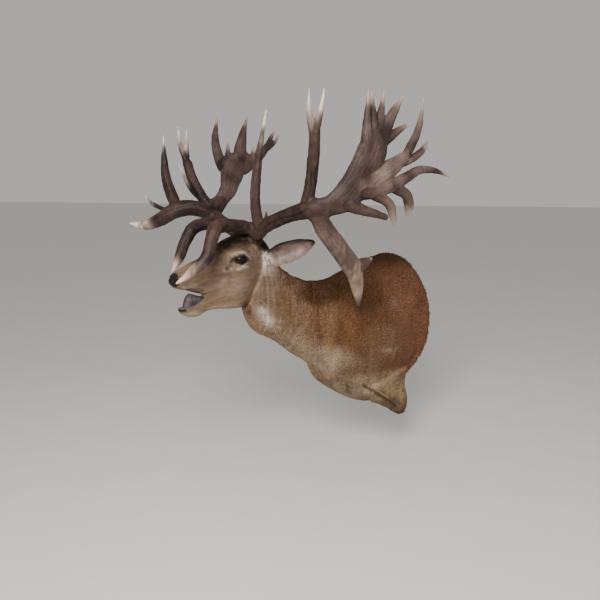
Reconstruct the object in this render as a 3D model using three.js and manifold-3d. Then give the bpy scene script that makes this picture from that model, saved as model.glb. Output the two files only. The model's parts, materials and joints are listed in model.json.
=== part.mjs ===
// Red deer stag shoulder mount: head stretched forward with the mouth open, long neck, shoulder cut by the
// wall, two leg stubs and a pair of heavy, many-pointed antlers, on a board let into its back.
// Millimetres, +Z up. The wall is the plane Y = 0 and the stag stands out of it towards -Y.
import * as THREE from 'three';
import { mergeVertices } from 'three/addons/utils/BufferGeometryUtils.js';
import Module from 'manifold-3d';

const wasm = await Module();
wasm.setup();

// ---- driving dimensions -------------------------------------------------------------------------------
const GAP = 0.3;                 // clearance between touching pieces
const WALL_GAP = 1;              // the coat's edge stands this far off the wall
const TURN_DEG = 50;             // the body's axis out of the wall plane
const BODY_AT_WALL = -38;        // where the body's middle plane meets the wall
const HEAD_PLACE = [814, 0, 400];  // between the eyes, in the body's frame
const HEAD_TURN_DEG = 7;         // head turned to its left of the body's axis
const HEAD_PITCH_DEG = 8;        // nose below level
const EYE_RADIUS = 21;
const EYE_PLACE = [6, 57, 2];    // left eyeball's centre in the head's frame
const LID_GAP = [44, 26];        // length and height of the open eye
const LID_TURN_DEG = -8;         // the open eye looks a little forward
const BOARD_THICKNESS = 18;
const BOARD_HALF_WIDTH = 135;
const BOARD_BOTTOM = -215;
const BOARD_TOP = 275;
const BURR_RADIUS = 40;
const BURR_HEIGHT = 20;

// ---- frames -------------------------------------------------------------------------------------------
const rad = THREE.MathUtils.degToRad;
const v3 = (p) => new THREE.Vector3(...p);

const mount = new THREE.Group();

// Body's frame: +X out of the wall along the spine, +Y the stag's left, +Z up.
const stag = new THREE.Group();
stag.position.set(BODY_AT_WALL, 0, 0);
stag.rotation.z = rad(180 + TURN_DEG);
mount.add(stag);

// Head's frame: +X from between the eyes to the nose, +Y its left, +Z up.
const head = new THREE.Group();
head.position.set(...HEAD_PLACE);
head.rotation.set(0, rad(HEAD_PITCH_DEG), rad(HEAD_TURN_DEG), 'ZYX');
stag.add(head);
mount.updateMatrixWorld(true);

// ---- solids -------------------------------------------------------------------------------------------
// A closed geometry as an exact solid for joins and cuts.
function solid(geometry, matrix) {
  let g = geometry.clone();
  g.deleteAttribute('normal');
  g.deleteAttribute('uv');
  if (matrix) g.applyMatrix4(matrix);
  g = mergeVertices(g, 1e-4);
  return new wasm.Manifold(new wasm.Mesh({
    numProp: 3,
    vertProperties: new Float32Array(g.attributes.position.array),
    triVerts: new Uint32Array(g.index.array),
  }));
}

function geometryOf(shape) {
  const mesh = shape.getMesh();
  const g = new THREE.BufferGeometry();
  g.setAttribute('position', new THREE.BufferAttribute(mesh.vertProperties, 3));
  g.setIndex(new THREE.BufferAttribute(mesh.triVerts, 1));
  return g;
}

const join = (shapes) => shapes.reduce((a, b) => a.add(b));

// The largest piece of a cut solid, without the crumbs.
function mainPiece(shape) {
  const pieces = shape.decompose();
  const size = (s) => Math.abs(s.volume());
  return pieces.reduce((a, b) => (size(b) > size(a) ? b : a));
}

// Rings of points, each a closed loop of the same count, skinned into one closed geometry.
function skinRings(rings) {
  const count = rings[0].length;
  const last = rings.length - 1;
  const positions = rings.flat().flatMap((p) => [p.x, p.y, p.z]);
  const index = [];
  for (let r = 0; r < last; r++) {
    for (let i = 0; i < count; i++) {
      const j = (i + 1) % count;
      const a = r * count;
      const b = a + count;
      index.push(a + i, a + j, b + i, a + j, b + j, b + i);
    }
  }
  for (const [r, out] of [[0, false], [last, true]]) {
    const centre = rings[r].reduce((s, p) => s.add(p), new THREE.Vector3()).divideScalar(count);
    const c = positions.length / 3;
    positions.push(centre.x, centre.y, centre.z);
    for (let i = 0; i < count; i++) {
      const a = r * count + i;
      const b = r * count + ((i + 1) % count);
      index.push(...(out ? [a, b, c] : [b, a, c]));
    }
  }
  const g = new THREE.BufferGeometry();
  g.setAttribute('position', new THREE.Float32BufferAttribute(positions, 3));
  g.setIndex(index);
  if (signedVolume(g) < 0) g.index.array.reverse();
  return g;
}

function signedVolume(g) {
  const p = g.attributes.position;
  const [a, b, c] = [0, 1, 2].map(() => new THREE.Vector3());
  let sum = 0;
  for (let i = 0; i < g.index.count; i += 3) {
    a.fromBufferAttribute(p, g.index.getX(i));
    b.fromBufferAttribute(p, g.index.getX(i + 1));
    c.fromBufferAttribute(p, g.index.getX(i + 2));
    sum += a.dot(b.cross(c)) / 6;
  }
  return sum;
}

// Catmull-Rom through rows of numbers.
function smoothRow(rows, t) {
  const k = Math.min(Math.floor(t), rows.length - 2);
  const u = t - k;
  const at = (i) => rows[THREE.MathUtils.clamp(i, 0, rows.length - 1)];
  const [p0, p1, p2, p3] = [at(k - 1), at(k), at(k + 1), at(k + 2)];
  return p1.map((v, i) => 0.5 * (2 * v + (p2[i] - p0[i]) * u
    + (2 * p0[i] - 5 * v + 4 * p2[i] - p3[i]) * u * u
    + (3 * v - p0[i] - 3 * p2[i] + p3[i]) * u * u * u));
}

// A bilateral body. Each station is [top x, top z, bottom x, bottom z, half width, widest, squareness]:
// widest is how far down from the top the section is broadest, and squareness below 1 fills the corners.
function loftBody(stations, around) {
  const ringOf = ([tx, tz, bx, bz, half, widest, square]) => Array.from({ length: around }, (_, i) => {
    const angle = (2 * Math.PI * i) / around;
    const down = ((1 - Math.cos(angle)) / 2) ** (Math.log(widest) / Math.log(0.5));
    const side = half * Math.sign(Math.sin(angle)) * Math.abs(Math.sin(angle)) ** square;
    return new THREE.Vector3(tx + (bx - tx) * down, side, tz + (bz - tz) * down);
  });
  return skinRings(stations.map(ringOf));
}

// Half of space: everything on the side of the plane that its normal points to.
function beyond(point, normal, gap = 0) {
  const size = 3000;
  const box = new THREE.BoxGeometry(size, size, size);
  box.translate(0, 0, size / 2 + gap);
  const turn = new THREE.Quaternion().setFromUnitVectors(new THREE.Vector3(0, 0, 1), v3(normal).normalize());
  const place = new THREE.Matrix4().compose(v3(point), turn, new THREE.Vector3(1, 1, 1));
  return solid(box, place);
}

function boxBetween(low, high) {
  const size = high.map((h, i) => h - low[i]);
  const box = new THREE.BoxGeometry(...size);
  box.translate(...high.map((h, i) => (h + low[i]) / 2));
  return solid(box);
}

// ---- trunk and neck, body's frame ---------------------------------------------------------------------
const BODY_STATIONS = [
  // top x, z    bottom x, z   half  widest square
  [-300, 315, -300, -170, 146, 0.52, 0.80],
  [-190, 332, -190, -182, 152, 0.52, 0.80],
  [-110, 343, -110, -197, 156, 0.53, 0.82],
  [-30, 352, -30, -222, 160, 0.54, 0.84],
  [40, 354, 50, -282, 165, 0.54, 0.86],
  [110, 347, 130, -312, 170, 0.55, 0.88],
  [190, 325, 225, -282, 166, 0.56, 0.88],
  [262, 302, 315, -230, 154, 0.56, 0.90],
  [330, 281, 386, -174, 138, 0.56, 0.92],
  [385, 274, 412, -122, 127, 0.56, 0.93],
  [440, 277, 452, -82, 118, 0.55, 0.93],
  [500, 294, 520, -32, 110, 0.54, 0.93],
  [560, 322, 590, 24, 104, 0.52, 0.93],
  [612, 357, 655, 66, 97, 0.50, 0.92],
  [655, 400, 715, 102, 87, 0.50, 0.90],
  [690, 436, 752, 160, 70, 0.50, 0.90],
  [715, 430, 765, 240, 48, 0.50, 0.90],
];

// One leg stub: a flap of shoulder skin that narrows to a blunt point below the elbow.
// Rows: z, rear x, front x, half thickness.
const LEG_STATIONS = [
  [-150, -40, 190, 40],
  [-215, -18, 228, 44],
  [-262, -24, 205, 44],
  [-295, -28, 152, 40],
  [-325, -28, 98, 34],
  [-352, -18, 58, 25],
  [-369, 2, 34, 12],
];
const LEG_LATERAL = 112;         // the flap's middle off the body's middle plane, at its top
const LEG_SPLAY = 0.05;          // how much further out it lies for each millimetre down
const LEGS = {
  left: { forward: 0, reach: 1, drop: 1 },
  right: { forward: 122, reach: 0.55, drop: 0.84 },   // the far one is narrower and cut shorter
};
const LEG_CUT = { y: 92, z: -238, front: 262 };       // the box that parts a leg from the brisket

function legLoft(name) {
  const { forward, reach, drop } = LEGS[name];
  const side = name === 'left' ? 1 : -1;
  const around = 12;
  const rings = LEG_STATIONS.map(([z, rear, front, thick]) => {
    const half = (reach * (front - rear)) / 2;
    const lateral = LEG_LATERAL + LEG_SPLAY * (LEG_STATIONS[0][0] - z);
    return Array.from({ length: around }, (_, i) => {
      const a = (2 * Math.PI * i) / around;
      const x = forward + rear + half * (1 + Math.cos(a));
      return new THREE.Vector3(x, side * (lateral + thick * Math.sin(a)), z * drop);
    });
  });
  return skinRings(rings);
}

// ---- head, head's frame -------------------------------------------------------------------------------
const HEAD_STATIONS = [
  [-172, -5, -150, -95, 40, 0.50, 0.85],
  [-150, 38, -125, -150, 58, 0.50, 0.85],
  [-120, 62, -95, -182, 68, 0.48, 0.85],
  [-80, 76, -60, -190, 71, 0.44, 0.85],
  [-40, 77, -30, -190, 73, 0.38, 0.88],
  [-5, 71, 0, -188, 74, 0.32, 0.90],
  [28, 61, 28, -178, 68, 0.32, 0.90],
  [60, 49, 62, -150, 57, 0.36, 0.90],
  [100, 37, 102, -118, 48, 0.42, 0.88],
  [140, 29, 140, -104, 42, 0.46, 0.86],
  [182, 23, 176, -90, 39, 0.50, 0.84],
  [218, 13, 210, -72, 38, 0.52, 0.84],
  [246, 3, 238, -58, 36, 0.52, 0.84],
  [262, -8, 254, -50, 30, 0.50, 0.86],
  [269, -20, 262, -42, 18, 0.50, 0.90],
];

const JAW_STATIONS = [
  [-75, -60, -70, -188, 56, 0.50, 0.85],
  [-20, -66, -15, -196, 52, 0.50, 0.85],
  [40, -80, 40, -188, 44, 0.50, 0.85],
  [90, -92, 90, -174, 36, 0.50, 0.85],
  [135, -102, 132, -166, 31, 0.48, 0.85],
  [172, -113, 164, -168, 28, 0.46, 0.85],
  [202, -122, 194, -174, 26, 0.44, 0.85],
  [228, -124, 222, -166, 22, 0.42, 0.85],
  [247, -121, 241, -151, 16, 0.45, 0.85],
  [257, -125, 252, -141, 8, 0.50, 0.85],
];

const MOUTH_CORNER = [166, 0, -102];
const JAW_CUT_X = 112;
const NOSE_CUT = { point: [244, 0, -12], normal: [0.86, 0, 0.30] };

// The tongue is arched up to the palate and slopes to the lower lip: x, top z, bottom z, half width.
const TONGUE_STATIONS = [
  [128, -108, -124, 14],
  [155, -105, -128, 17],
  [180, -93, -134, 18],
  [203, -82, -139, 18],
  [220, -93, -141, 15],
  [233, -115, -140, 9],
];

function tongueLoft(extra) {
  const around = 10;
  const rings = TONGUE_STATIONS.map(([x, top, bottom, half]) => Array.from({ length: around }, (_, i) => {
    const a = (2 * Math.PI * i) / around;
    const thick = (top - bottom) / 2 + extra;
    return new THREE.Vector3(x, (half + extra) * Math.cos(a), (top + bottom) / 2 + thick * Math.sin(a));
  }));
  rings[0].forEach((p) => { p.x -= extra; });
  rings.at(-1).forEach((p) => { p.x += extra; });
  return skinRings(rings);
}

// ---- ears, body's frame -------------------------------------------------------------------------------
const EAR = {
  root: [-112, 50, -42],         // in the head's frame
  way: [-0.49, 0.80, 0.45],      // the left ear's length, in the body's frame
  open: [0.62, 0.50, -0.60],     // where its hollow looks, before it is squared to its length
  length: 228,
  width: 90,
  wall: 5,
  depth: 26,                     // of the hollow
  cut: 46,                       // the butt belongs to the head up to here
  buttEnd: 0.28,                 // share of the length where the butt becomes the leaf
  buttWidth: 0.58,               // of the width, at the root
  buttThickness: 28,
  leafFill: 0.8,                 // below 1 fills out the leaf's ends
  tipHalf: 2.5,
  curl: 14,                      // the tip's bend towards the hollow
};

// A leaf bent into a trough: outer and inner skins a wall apart, closed at the rim.
function earLoft(side) {
  const mirror = new THREE.Vector3(1, side, 1);
  const root = v3([EAR.root[0], side * EAR.root[1], EAR.root[2]]).applyMatrix4(head.matrix);
  const way = v3(EAR.way).multiply(mirror).normalize();
  const open = v3(EAR.open).multiply(mirror);
  open.addScaledVector(way, -open.dot(way)).normalize();
  const across = new THREE.Vector3().crossVectors(way, open);
  const rows = 9;
  const acrossSteps = 4;
  const leafAt = (t) => Math.sin(Math.PI * (0.2 + 0.8 * t) ** 1.25) ** EAR.leafFill;
  const rings = Array.from({ length: rows + 1 }, (_, r) => {
    const t = r / rows;
    const butt = THREE.MathUtils.smoothstep(t, 0, EAR.buttEnd);
    const buttShare = THREE.MathUtils.lerp(EAR.buttWidth, leafAt(EAR.buttEnd), butt);
    const share = t < EAR.buttEnd ? buttShare : leafAt(t);
    const half = Math.max(EAR.tipHalf, (EAR.width / 2) * share);
    const depth = EAR.depth * share * (0.25 + 0.75 * butt);
    const thick = THREE.MathUtils.lerp(EAR.buttThickness, EAR.wall, butt) * (half < 6 ? 0.6 : 1);
    const centre = root.clone().addScaledVector(way, EAR.length * t).addScaledVector(open, EAR.curl * t * t);
    const skin = (offset, direction) => Array.from({ length: acrossSteps + 1 }, (__, i) => {
      const s = direction * (-1 + (2 * i) / acrossSteps);
      return centre.clone()
        .addScaledVector(across, s * half * (offset ? 1 : 0.97))
        .addScaledVector(open, offset * (1 - 0.55 * s * s) - depth * (1 - s * s));
    });
    return [...skin(0, 1), ...skin(-thick, -1)];
  });
  return { shape: solid(skinRings(rings)), root, way };
}

// ---- antlers, body's frame ----------------------------------------------------------------------------
// Each branch is [path, radii along it, flatness, broad direction]. Flatness is breadth over thickness.
const UP = [0, 0, 1];
const OUT = [0, 1, 0];
const ANTLERS = {
  left: {
    beam: [
      [[[742, 54, 492], [738, 112, 520], [732, 210, 554], [716, 290, 578], [695, 345, 592]],
        [30, 26, 25, 27, 34]],
      [[[735, 122, 530], [743, 132, 590]], [10, 2]],
    ],
    brow: [[[[745, 62, 508], [815, 62, 522], [890, 84, 528], [938, 111, 520], [964, 127, 478],
      [988, 139, 430], [1035, 130, 386], [1092, 104, 342]], [24, 22, 24, 25, 22, 21, 17, 4]]],
    bez: [[[[748, 90, 515], [782, 122, 610], [806, 178, 732], [812, 246, 912]], [19, 18, 15, 3]]],
    trez: [
      [[[702, 307, 580], [708, 343, 660], [722, 381, 775], [732, 398, 850]], [22, 20, 19, 17]],
      [[[736, 392, 832], [752, 394, 890], [758, 402, 965]], [13, 10, 2]],
      [[[734, 400, 828], [728, 420, 890], [726, 438, 965]], [13, 10, 2]],
    ],
    down: [
      [[[690, 342, 590], [658, 356, 526], [590, 360, 448], [508, 340, 368], [444, 294, 285], [392, 244, 205]],
        [32, 35, 38, 40, 31, 6], 1.5, [0.6, 0, -0.8]],
      [[[520, 335, 382], [478, 345, 384], [440, 350, 396]], [22, 16, 4]],
    ],
    palm: [
      [[[695, 345, 594], [645, 382, 604], [592, 403, 640], [540, 408, 708], [490, 408, 785], [446, 400, 850]],
        [34, 42, 54, 56, 60, 44], 1.9, [0.75, 0, 0.66]],
      [[[524, 414, 770], [530, 418, 860], [536, 428, 975]], [24, 15, 3]],
      [[[488, 402, 820], [488, 400, 900], [486, 388, 980]], [22, 14, 3]],
      [[[462, 400, 830], [444, 394, 910], [430, 392, 985]], [20, 13, 3]],
      [[[440, 400, 830], [402, 410, 910], [360, 424, 972]], [22, 16, 3]],
      [[[430, 400, 815], [374, 415, 855], [326, 432, 882]], [20, 12, 3]],
    ],
    rear: [
      [[[592, 405, 640], [548, 418, 662], [460, 412, 700], [365, 400, 742], [298, 394, 792]],
        [34, 42, 40, 28, 17], 1.6, [0.4, 0, 0.9]],
      [[[306, 392, 780], [264, 400, 860], [246, 406, 978]], [17, 13, 3]],
      [[[345, 394, 742], [262, 376, 762], [192, 364, 798], [152, 352, 836]], [16, 14, 12, 3]],
    ],
    back: [
      [[[548, 426, 640], [480, 424, 648], [410, 412, 662], [320, 396, 690], [230, 382, 720], [140, 376, 720],
        [62, 390, 694]], [26, 22, 22, 20, 16, 11, 3]],
      [[[392, 408, 658], [318, 404, 632], [286, 390, 590], [284, 378, 552]], [20, 19, 18, 7]],
      [[[500, 430, 632], [432, 430, 606], [408, 428, 566], [390, 426, 508]], [17, 17, 14, 3]],
    ],
    bar: [[[[602, 410, 606], [552, 426, 586], [505, 434, 574], [428, 434, 552]], [26, 18, 14, 10]]],
  },
  right: {
    beam: [[[[748, -54, 492], [762, -102, 508], [768, -170, 528], [760, -225, 556], [732, -242, 590]],
      [30, 27, 27, 30, 34]]],
    brow: [[[[752, -70, 508], [830, -76, 520], [895, -82, 522], [932, -78, 506], [964, -76, 460],
      [988, -78, 405], [1020, -84, 348]], [24, 22, 23, 23, 21, 18, 4]]],
    trez: [
      [[[756, -236, 560], [794, -260, 620], [824, -284, 698], [838, -298, 768]], [22, 21, 20, 18]],
      [[[837, -295, 752], [852, -316, 820], [858, -322, 896]], [13, 10, 2]],
      [[[838, -298, 746], [828, -314, 820], [820, -322, 890]], [13, 10, 2]],
      [[[788, -256, 606], [822, -306, 656], [848, -350, 752]], [15, 11, 2]],
    ],
    curve: [
      [[[764, -200, 530], [812, -214, 566], [866, -235, 578], [912, -266, 566], [950, -310, 534],
        [994, -362, 508], [1040, -428, 514]], [28, 29, 31, 31, 27, 20, 4]],
      [[[900, -264, 570], [912, -332, 694], [898, -370, 864]], [24, 19, 3]],
      [[[905, -290, 556], [920, -414, 580], [950, -488, 626]], [12, 8, 2]],
      [[[912, -340, 566], [928, -430, 582], [942, -486, 604]], [7, 6, 2]],
    ],
    palm: [
      [[[732, -240, 588], [684, -246, 640], [645, -280, 700], [596, -304, 765]], [34, 37, 50, 54], 1.8,
        [0.8, 0, 0.5]],
      [[[672, -306, 728], [590, -308, 752], [506, -306, 758]], [44, 52, 38], 1.8, UP],
      [[[668, -308, 725], [668, -366, 845], [636, -398, 962]], [24, 17, 3]],
      [[[592, -306, 760], [560, -324, 868], [524, -336, 962]], [32, 18, 3]],
      [[[520, -308, 760], [452, -318, 815], [390, -310, 926]], [24, 16, 3]],
      [[[450, -318, 812], [405, -310, 848], [374, -305, 902]], [12, 9, 2]],
      [[[640, -310, 770], [630, -328, 862]], [14, 2]],
      [[[520, -308, 780], [504, -320, 846]], [14, 2]],
    ],
  },
};
// A branch is trimmed to the skin of the branches that it grows from.
const GROWS_FROM = {
  brow: ['beam'],
  bez: ['beam', 'brow'],
  trez: ['beam'],
  curve: ['beam', 'trez'],
  palm: ['beam', 'trez', 'curve'],
  down: ['beam', 'palm', 'trez'],
  rear: ['palm'],
  back: ['palm', 'rear'],
  bar: ['palm', 'back', 'rear', 'down'],
};

function branchTube([path, radii, flat = 1, broad = UP], extra = 0) {
  const curve = new THREE.CatmullRomCurve3(path.map(v3), false, 'centripetal');
  const longest = Math.max(...radii);
  const rows = THREE.MathUtils.clamp(Math.round(curve.getLength() / (longest * 2.5)), 3, 7);
  const around = longest > 24 ? 8 : 6;
  const frames = curve.computeFrenetFrames(rows, false);
  const rings = [];
  for (let r = 0; r <= rows; r++) {
    const u = r / rows;
    const centre = curve.getPointAt(u);
    const along = curve.getTangentAt(u);
    // Radii belong to the path's points, so the parameter of this point finds its radius.
    const spot = curve.getUtoTmapping(u) * (path.length - 1);
    const share = spot * ((radii.length - 1) / (path.length - 1));
    const [radius] = smoothRow(radii.map((x) => [x]), share);
    const squared = v3(broad).addScaledVector(along, -v3(broad).dot(along)).normalize();
    const wide = flat > 1 ? squared : frames.normals[r];
    const thin = new THREE.Vector3().crossVectors(along, wide);
    if (r === 0) centre.addScaledVector(along, -extra);
    if (r === rows) centre.addScaledVector(along, extra);
    const ring = [];
    for (let i = 0; i < around; i++) {
      const a = (2 * Math.PI * i) / around;
      ring.push(centre.clone()
        .addScaledVector(wide, (Math.max(radius, 1.5) + extra) * Math.cos(a))
        .addScaledVector(thin, (Math.max(radius, 1.5) / flat + extra) * Math.sin(a)));
    }
    rings.push(ring);
  }
  return solid(skinRings(rings));
}

const branchSolid = (tubes, extra) => join(tubes.map((tube) => branchTube(tube, extra)));

// The rough ring at an antler's foot, square to its pedicle.
const PEDICLE = { foot: [-78, 40, 40], top: [-86, 54, 78] };   // left side, head's frame
function pedicle(side, from, to, radii) {
  const foot = v3([PEDICLE.foot[0], side * PEDICLE.foot[1], PEDICLE.foot[2]]).applyMatrix4(head.matrix);
  const top = v3([PEDICLE.top[0], side * PEDICLE.top[1], PEDICLE.top[2]]).applyMatrix4(head.matrix);
  const along = top.clone().sub(foot).normalize();
  const stem = new THREE.LatheGeometry([
    new THREE.Vector2(0, from),
    ...radii.map(([r, h]) => new THREE.Vector2(r, h)),
    new THREE.Vector2(0, to),
  ], 12);
  const turn = new THREE.Quaternion().setFromUnitVectors(new THREE.Vector3(0, 1, 0), along);
  return solid(stem, new THREE.Matrix4().compose(top, turn, new THREE.Vector3(1, 1, 1)));
}

const pedicleStump = (side) => pedicle(side, -60, 0, [[30, -60], [29, -20], [31, 0]]);
const burr = (side) => pedicle(side, GAP, BURR_HEIGHT + GAP, [
  [BURR_RADIUS - 5, GAP],
  [BURR_RADIUS, GAP + BURR_HEIGHT * 0.4],
  [BURR_RADIUS - 6, BURR_HEIGHT + GAP],
]);

// ---- back board, wall's frame -------------------------------------------------------------------------
function boardOutline(extra) {
  const middle = (BOARD_TOP + BOARD_BOTTOM) / 2;
  const half = (BOARD_TOP - BOARD_BOTTOM) / 2;
  const outline = new THREE.Shape();
  outline.absellipse(0, middle, BOARD_HALF_WIDTH + extra, half + extra, 0, 2 * Math.PI);
  return outline;
}

// Stands from the wall plane to thickness in front of it.
function boardGeometry(extra) {
  const depth = BOARD_THICKNESS + extra * 2;
  const g = new THREE.ExtrudeGeometry(boardOutline(extra), { depth, bevelEnabled: false, curveSegments: 16 });
  g.rotateX(Math.PI / 2);
  g.translate(BODY_AT_WALL, extra, 0);
  return g;
}

// ---- flesh: one whole animal, then parted -------------------------------------------------------------
const toStag = stag.matrixWorld.clone().invert();
const wallSide = solid(new THREE.BoxGeometry(4000, 2000, 4000).translate(0, 1000 - WALL_GAP, 0), toStag);
const boardRecess = solid(boardGeometry(GAP), toStag);

const legs = Object.keys(LEGS).map((name) => solid(legLoft(name)));
const body = join([solid(loftBody(BODY_STATIONS, 22)), ...legs])
  .subtract(wallSide)
  .subtract(boardRecess);

const ears = { left: earLoft(1), right: earLoft(-1) };
const earPlane = (ear, gap) => beyond(
  ear.root.clone().addScaledVector(ear.way, EAR.cut).toArray(), ear.way.toArray(), gap);
const earButts = Object.values(ears).map((ear) => ear.shape.subtract(earPlane(ear, -GAP / 2)));

const inHead = (geometry) => solid(geometry, head.matrix);
const headPoint = (p) => v3(p).applyMatrix4(head.matrix).toArray();
const headWay = (p) => v3(p).transformDirection(head.matrix).toArray();
const skull = inHead(loftBody(HEAD_STATIONS, 18));
const jawWhole = inHead(loftBody(JAW_STATIONS, 12));
const sockets = [1, -1].map((side) => inHead(new THREE.SphereGeometry(EYE_RADIUS + GAP, 12, 8)
  .translate(EYE_PLACE[0], side * EYE_PLACE[1], EYE_PLACE[2])));
// The gap between the lids, a lens that bares the front of the eyeball.
const lidGaps = [1, -1].map((side) => inHead(new THREE.SphereGeometry(1, 10, 6)
  .scale(LID_GAP[0] / 2, EYE_RADIUS, LID_GAP[1] / 2)
  .rotateZ(side * rad(LID_TURN_DEG))
  .translate(EYE_PLACE[0], side * (EYE_PLACE[1] + EYE_RADIUS * 0.72), EYE_PLACE[2])));

const neckCut = { point: [330, 0, 60], normal: [0.90, 0, 0.43] };
const headCut = { point: [705, 0, 295], normal: [0.935, 0, 0.355] };
const past = (cut, gap) => beyond(cut.point, cut.normal, gap);

// In front of JAW_CUT_X and under the mouth line, all flesh is lower jaw.
const jawFront = (gap) => beyond(headPoint([JAW_CUT_X, 0, 0]), headWay([1, 0, 0]), gap);
const underMouth = (gap) => beyond(headPoint(MOUTH_CORNER), headWay([0, 0, -1]), gap);
const tongueRoom = inHead(tongueLoft(GAP));
const jaw = jawWhole
  .intersect(jawFront(GAP / 2))
  .intersect(underMouth(GAP / 2))
  .subtract(tongueRoom);
const upper = skull
  .add(jawWhole.subtract(jawFront(-GAP / 2)))
  .subtract(jawFront(-GAP / 2).intersect(underMouth(-GAP / 2)))
  .subtract(tongueRoom);

const whole = join([body, upper, ...earButts, ...[1, -1].map(pedicleStump)])
  .subtract(join([...sockets, ...lidGaps]));
const nosePlane = (gap) => beyond(headPoint(NOSE_CUT.point), headWay(NOSE_CUT.normal), gap);
const aheadOfHead = past(headCut, GAP / 2);

const legBox = (side, gap) => {
  const inner = LEG_CUT.y + gap;
  const outer = 400;
  const y = side > 0 ? [inner, outer] : [-outer, -inner];
  return boxBetween([-400, y[0], -600], [LEG_CUT.front - gap, y[1], LEG_CUT.z - gap]);
};
const behindNeck = whole.subtract(past(neckCut, -GAP / 2));

const flesh = {
  trunk: behindNeck.subtract(legBox(1, -GAP / 2)).subtract(legBox(-1, -GAP / 2)),
  leg_left: behindNeck.intersect(legBox(1, GAP / 2)),
  leg_right: behindNeck.intersect(legBox(-1, GAP / 2)),
  neck: whole.intersect(past(neckCut, GAP / 2)).subtract(past(headCut, -GAP / 2)),
  head: whole.intersect(aheadOfHead).subtract(nosePlane(-GAP / 2)),
  nose: whole.intersect(aheadOfHead).intersect(nosePlane(GAP / 2)),
  lower_jaw: jaw,
  ear_left: ears.left.shape.intersect(earPlane(ears.left, GAP / 2)),
  ear_right: ears.right.shape.intersect(earPlane(ears.right, GAP / 2)),
};

// ---- materials and scene graph ------------------------------------------------------------------------
const finish = (color, roughness) => new THREE.MeshStandardMaterial({ color, roughness });
const COLOURS = {
  coat: '#8a5a34',
  neckCoat: '#8f6a47',
  faceCoat: '#9a8266',
  nose: '#1d1a1b',
  eye: '#17100c',
  tongue: '#9b8a94',
  antler: '#4c3733',
  board: '#8b6a45',
};

function add(parent, name, shape, material) {
  const mesh = new THREE.Mesh(shape.isBufferGeometry ? shape : geometryOf(mainPiece(shape)), material);
  mesh.name = name;
  parent.add(mesh);
  return mesh;
}

const COAT_OF = {
  neck: COLOURS.neckCoat,
  head: COLOURS.faceCoat,
  lower_jaw: COLOURS.faceCoat,
  nose: COLOURS.nose,
};
for (const [name, shape] of Object.entries(flesh)) {
  add(stag, name, shape, finish(COAT_OF[name] ?? COLOURS.coat, name === 'nose' ? 0.4 : 0.9));
}
add(head, 'tongue', tongueLoft(0), finish(COLOURS.tongue, 0.5));
for (const [name, side] of [['eye_left', 1], ['eye_right', -1]]) {
  const eye = add(head, name, new THREE.SphereGeometry(EYE_RADIUS, 12, 8), finish(COLOURS.eye, 0.08));
  eye.position.set(EYE_PLACE[0], side * EYE_PLACE[1], EYE_PLACE[2]);
}

for (const [sideName, side] of [['left', 1], ['right', -1]]) {
  const branches = ANTLERS[sideName];
  const foot = pedicle(side, -100, GAP, [[70, -100], [70, GAP]]);
  for (const [name, tubes] of Object.entries(branches)) {
    let shape = branchSolid(tubes, 0);
    if (name === 'beam') shape = shape.subtract(foot).add(burr(side));
    else shape = shape.subtract(pedicle(side, -100, BURR_HEIGHT + 2 * GAP, [
      [BURR_RADIUS + GAP, -100],
      [BURR_RADIUS + GAP, BURR_HEIGHT + 2 * GAP],
    ]));
    for (const parent of (GROWS_FROM[name] ?? []).filter((key) => branches[key])) {
      shape = shape.subtract(branchSolid(branches[parent], GAP * 1.15));
    }
    add(stag, `antler_${sideName}_${name}`, shape, finish(COLOURS.antler, 0.6));
  }
}

add(mount, 'back_board', boardGeometry(0), finish(COLOURS.board, 0.7));

export default mount;
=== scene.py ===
# %% [markdown]
# # A red deer stag's head mount
# A stag's head, neck and shoulder, hung on a wall by a board that is let into its back. The plain solids are
# loaded first and stay as a fixed frame. Everything made below is laid over them, in the same metres, so
# nothing has to be fitted afterwards.

# %% Load the solids
import json
import math
import bmesh
import bpy
import numpy as np
from mathutils import Matrix, Vector

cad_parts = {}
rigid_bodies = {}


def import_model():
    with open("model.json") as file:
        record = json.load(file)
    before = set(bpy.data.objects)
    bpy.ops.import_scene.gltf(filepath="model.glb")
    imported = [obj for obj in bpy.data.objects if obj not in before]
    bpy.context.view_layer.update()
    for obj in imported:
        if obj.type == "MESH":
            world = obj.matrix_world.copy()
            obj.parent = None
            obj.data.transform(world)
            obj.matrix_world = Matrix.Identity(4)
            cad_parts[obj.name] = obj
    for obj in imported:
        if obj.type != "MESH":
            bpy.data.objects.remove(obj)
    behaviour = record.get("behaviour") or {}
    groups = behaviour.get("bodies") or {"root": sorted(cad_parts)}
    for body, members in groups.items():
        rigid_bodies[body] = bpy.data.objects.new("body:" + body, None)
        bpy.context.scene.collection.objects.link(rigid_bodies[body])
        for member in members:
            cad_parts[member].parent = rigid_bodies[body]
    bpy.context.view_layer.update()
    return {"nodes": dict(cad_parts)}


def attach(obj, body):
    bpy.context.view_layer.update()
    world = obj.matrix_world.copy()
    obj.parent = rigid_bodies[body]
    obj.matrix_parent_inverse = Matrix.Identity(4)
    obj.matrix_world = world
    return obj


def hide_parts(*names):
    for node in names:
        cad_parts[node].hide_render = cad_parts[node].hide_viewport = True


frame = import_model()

# %% [markdown]
# ## Camera
# The stag is seen from a little above and from its left front, by someone standing in front of the wall. A 35 mm
# lens on a 36 mm sensor gives an ordinary, slightly wide view. Depth of field stays off, so every view is sharp.

# %% Camera
camera_data = bpy.data.cameras.new("camera")
camera_data.lens = 35.0
camera_data.sensor_width = 36.0
camera = bpy.data.objects.new("camera", camera_data)
camera.location = (0.19, -2.67, 0.68)
camera.rotation_euler = (math.radians(90 - 11.5), 0, math.radians(13.4))
bpy.context.scene.collection.objects.link(camera)
bpy.context.scene.camera = camera

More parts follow.
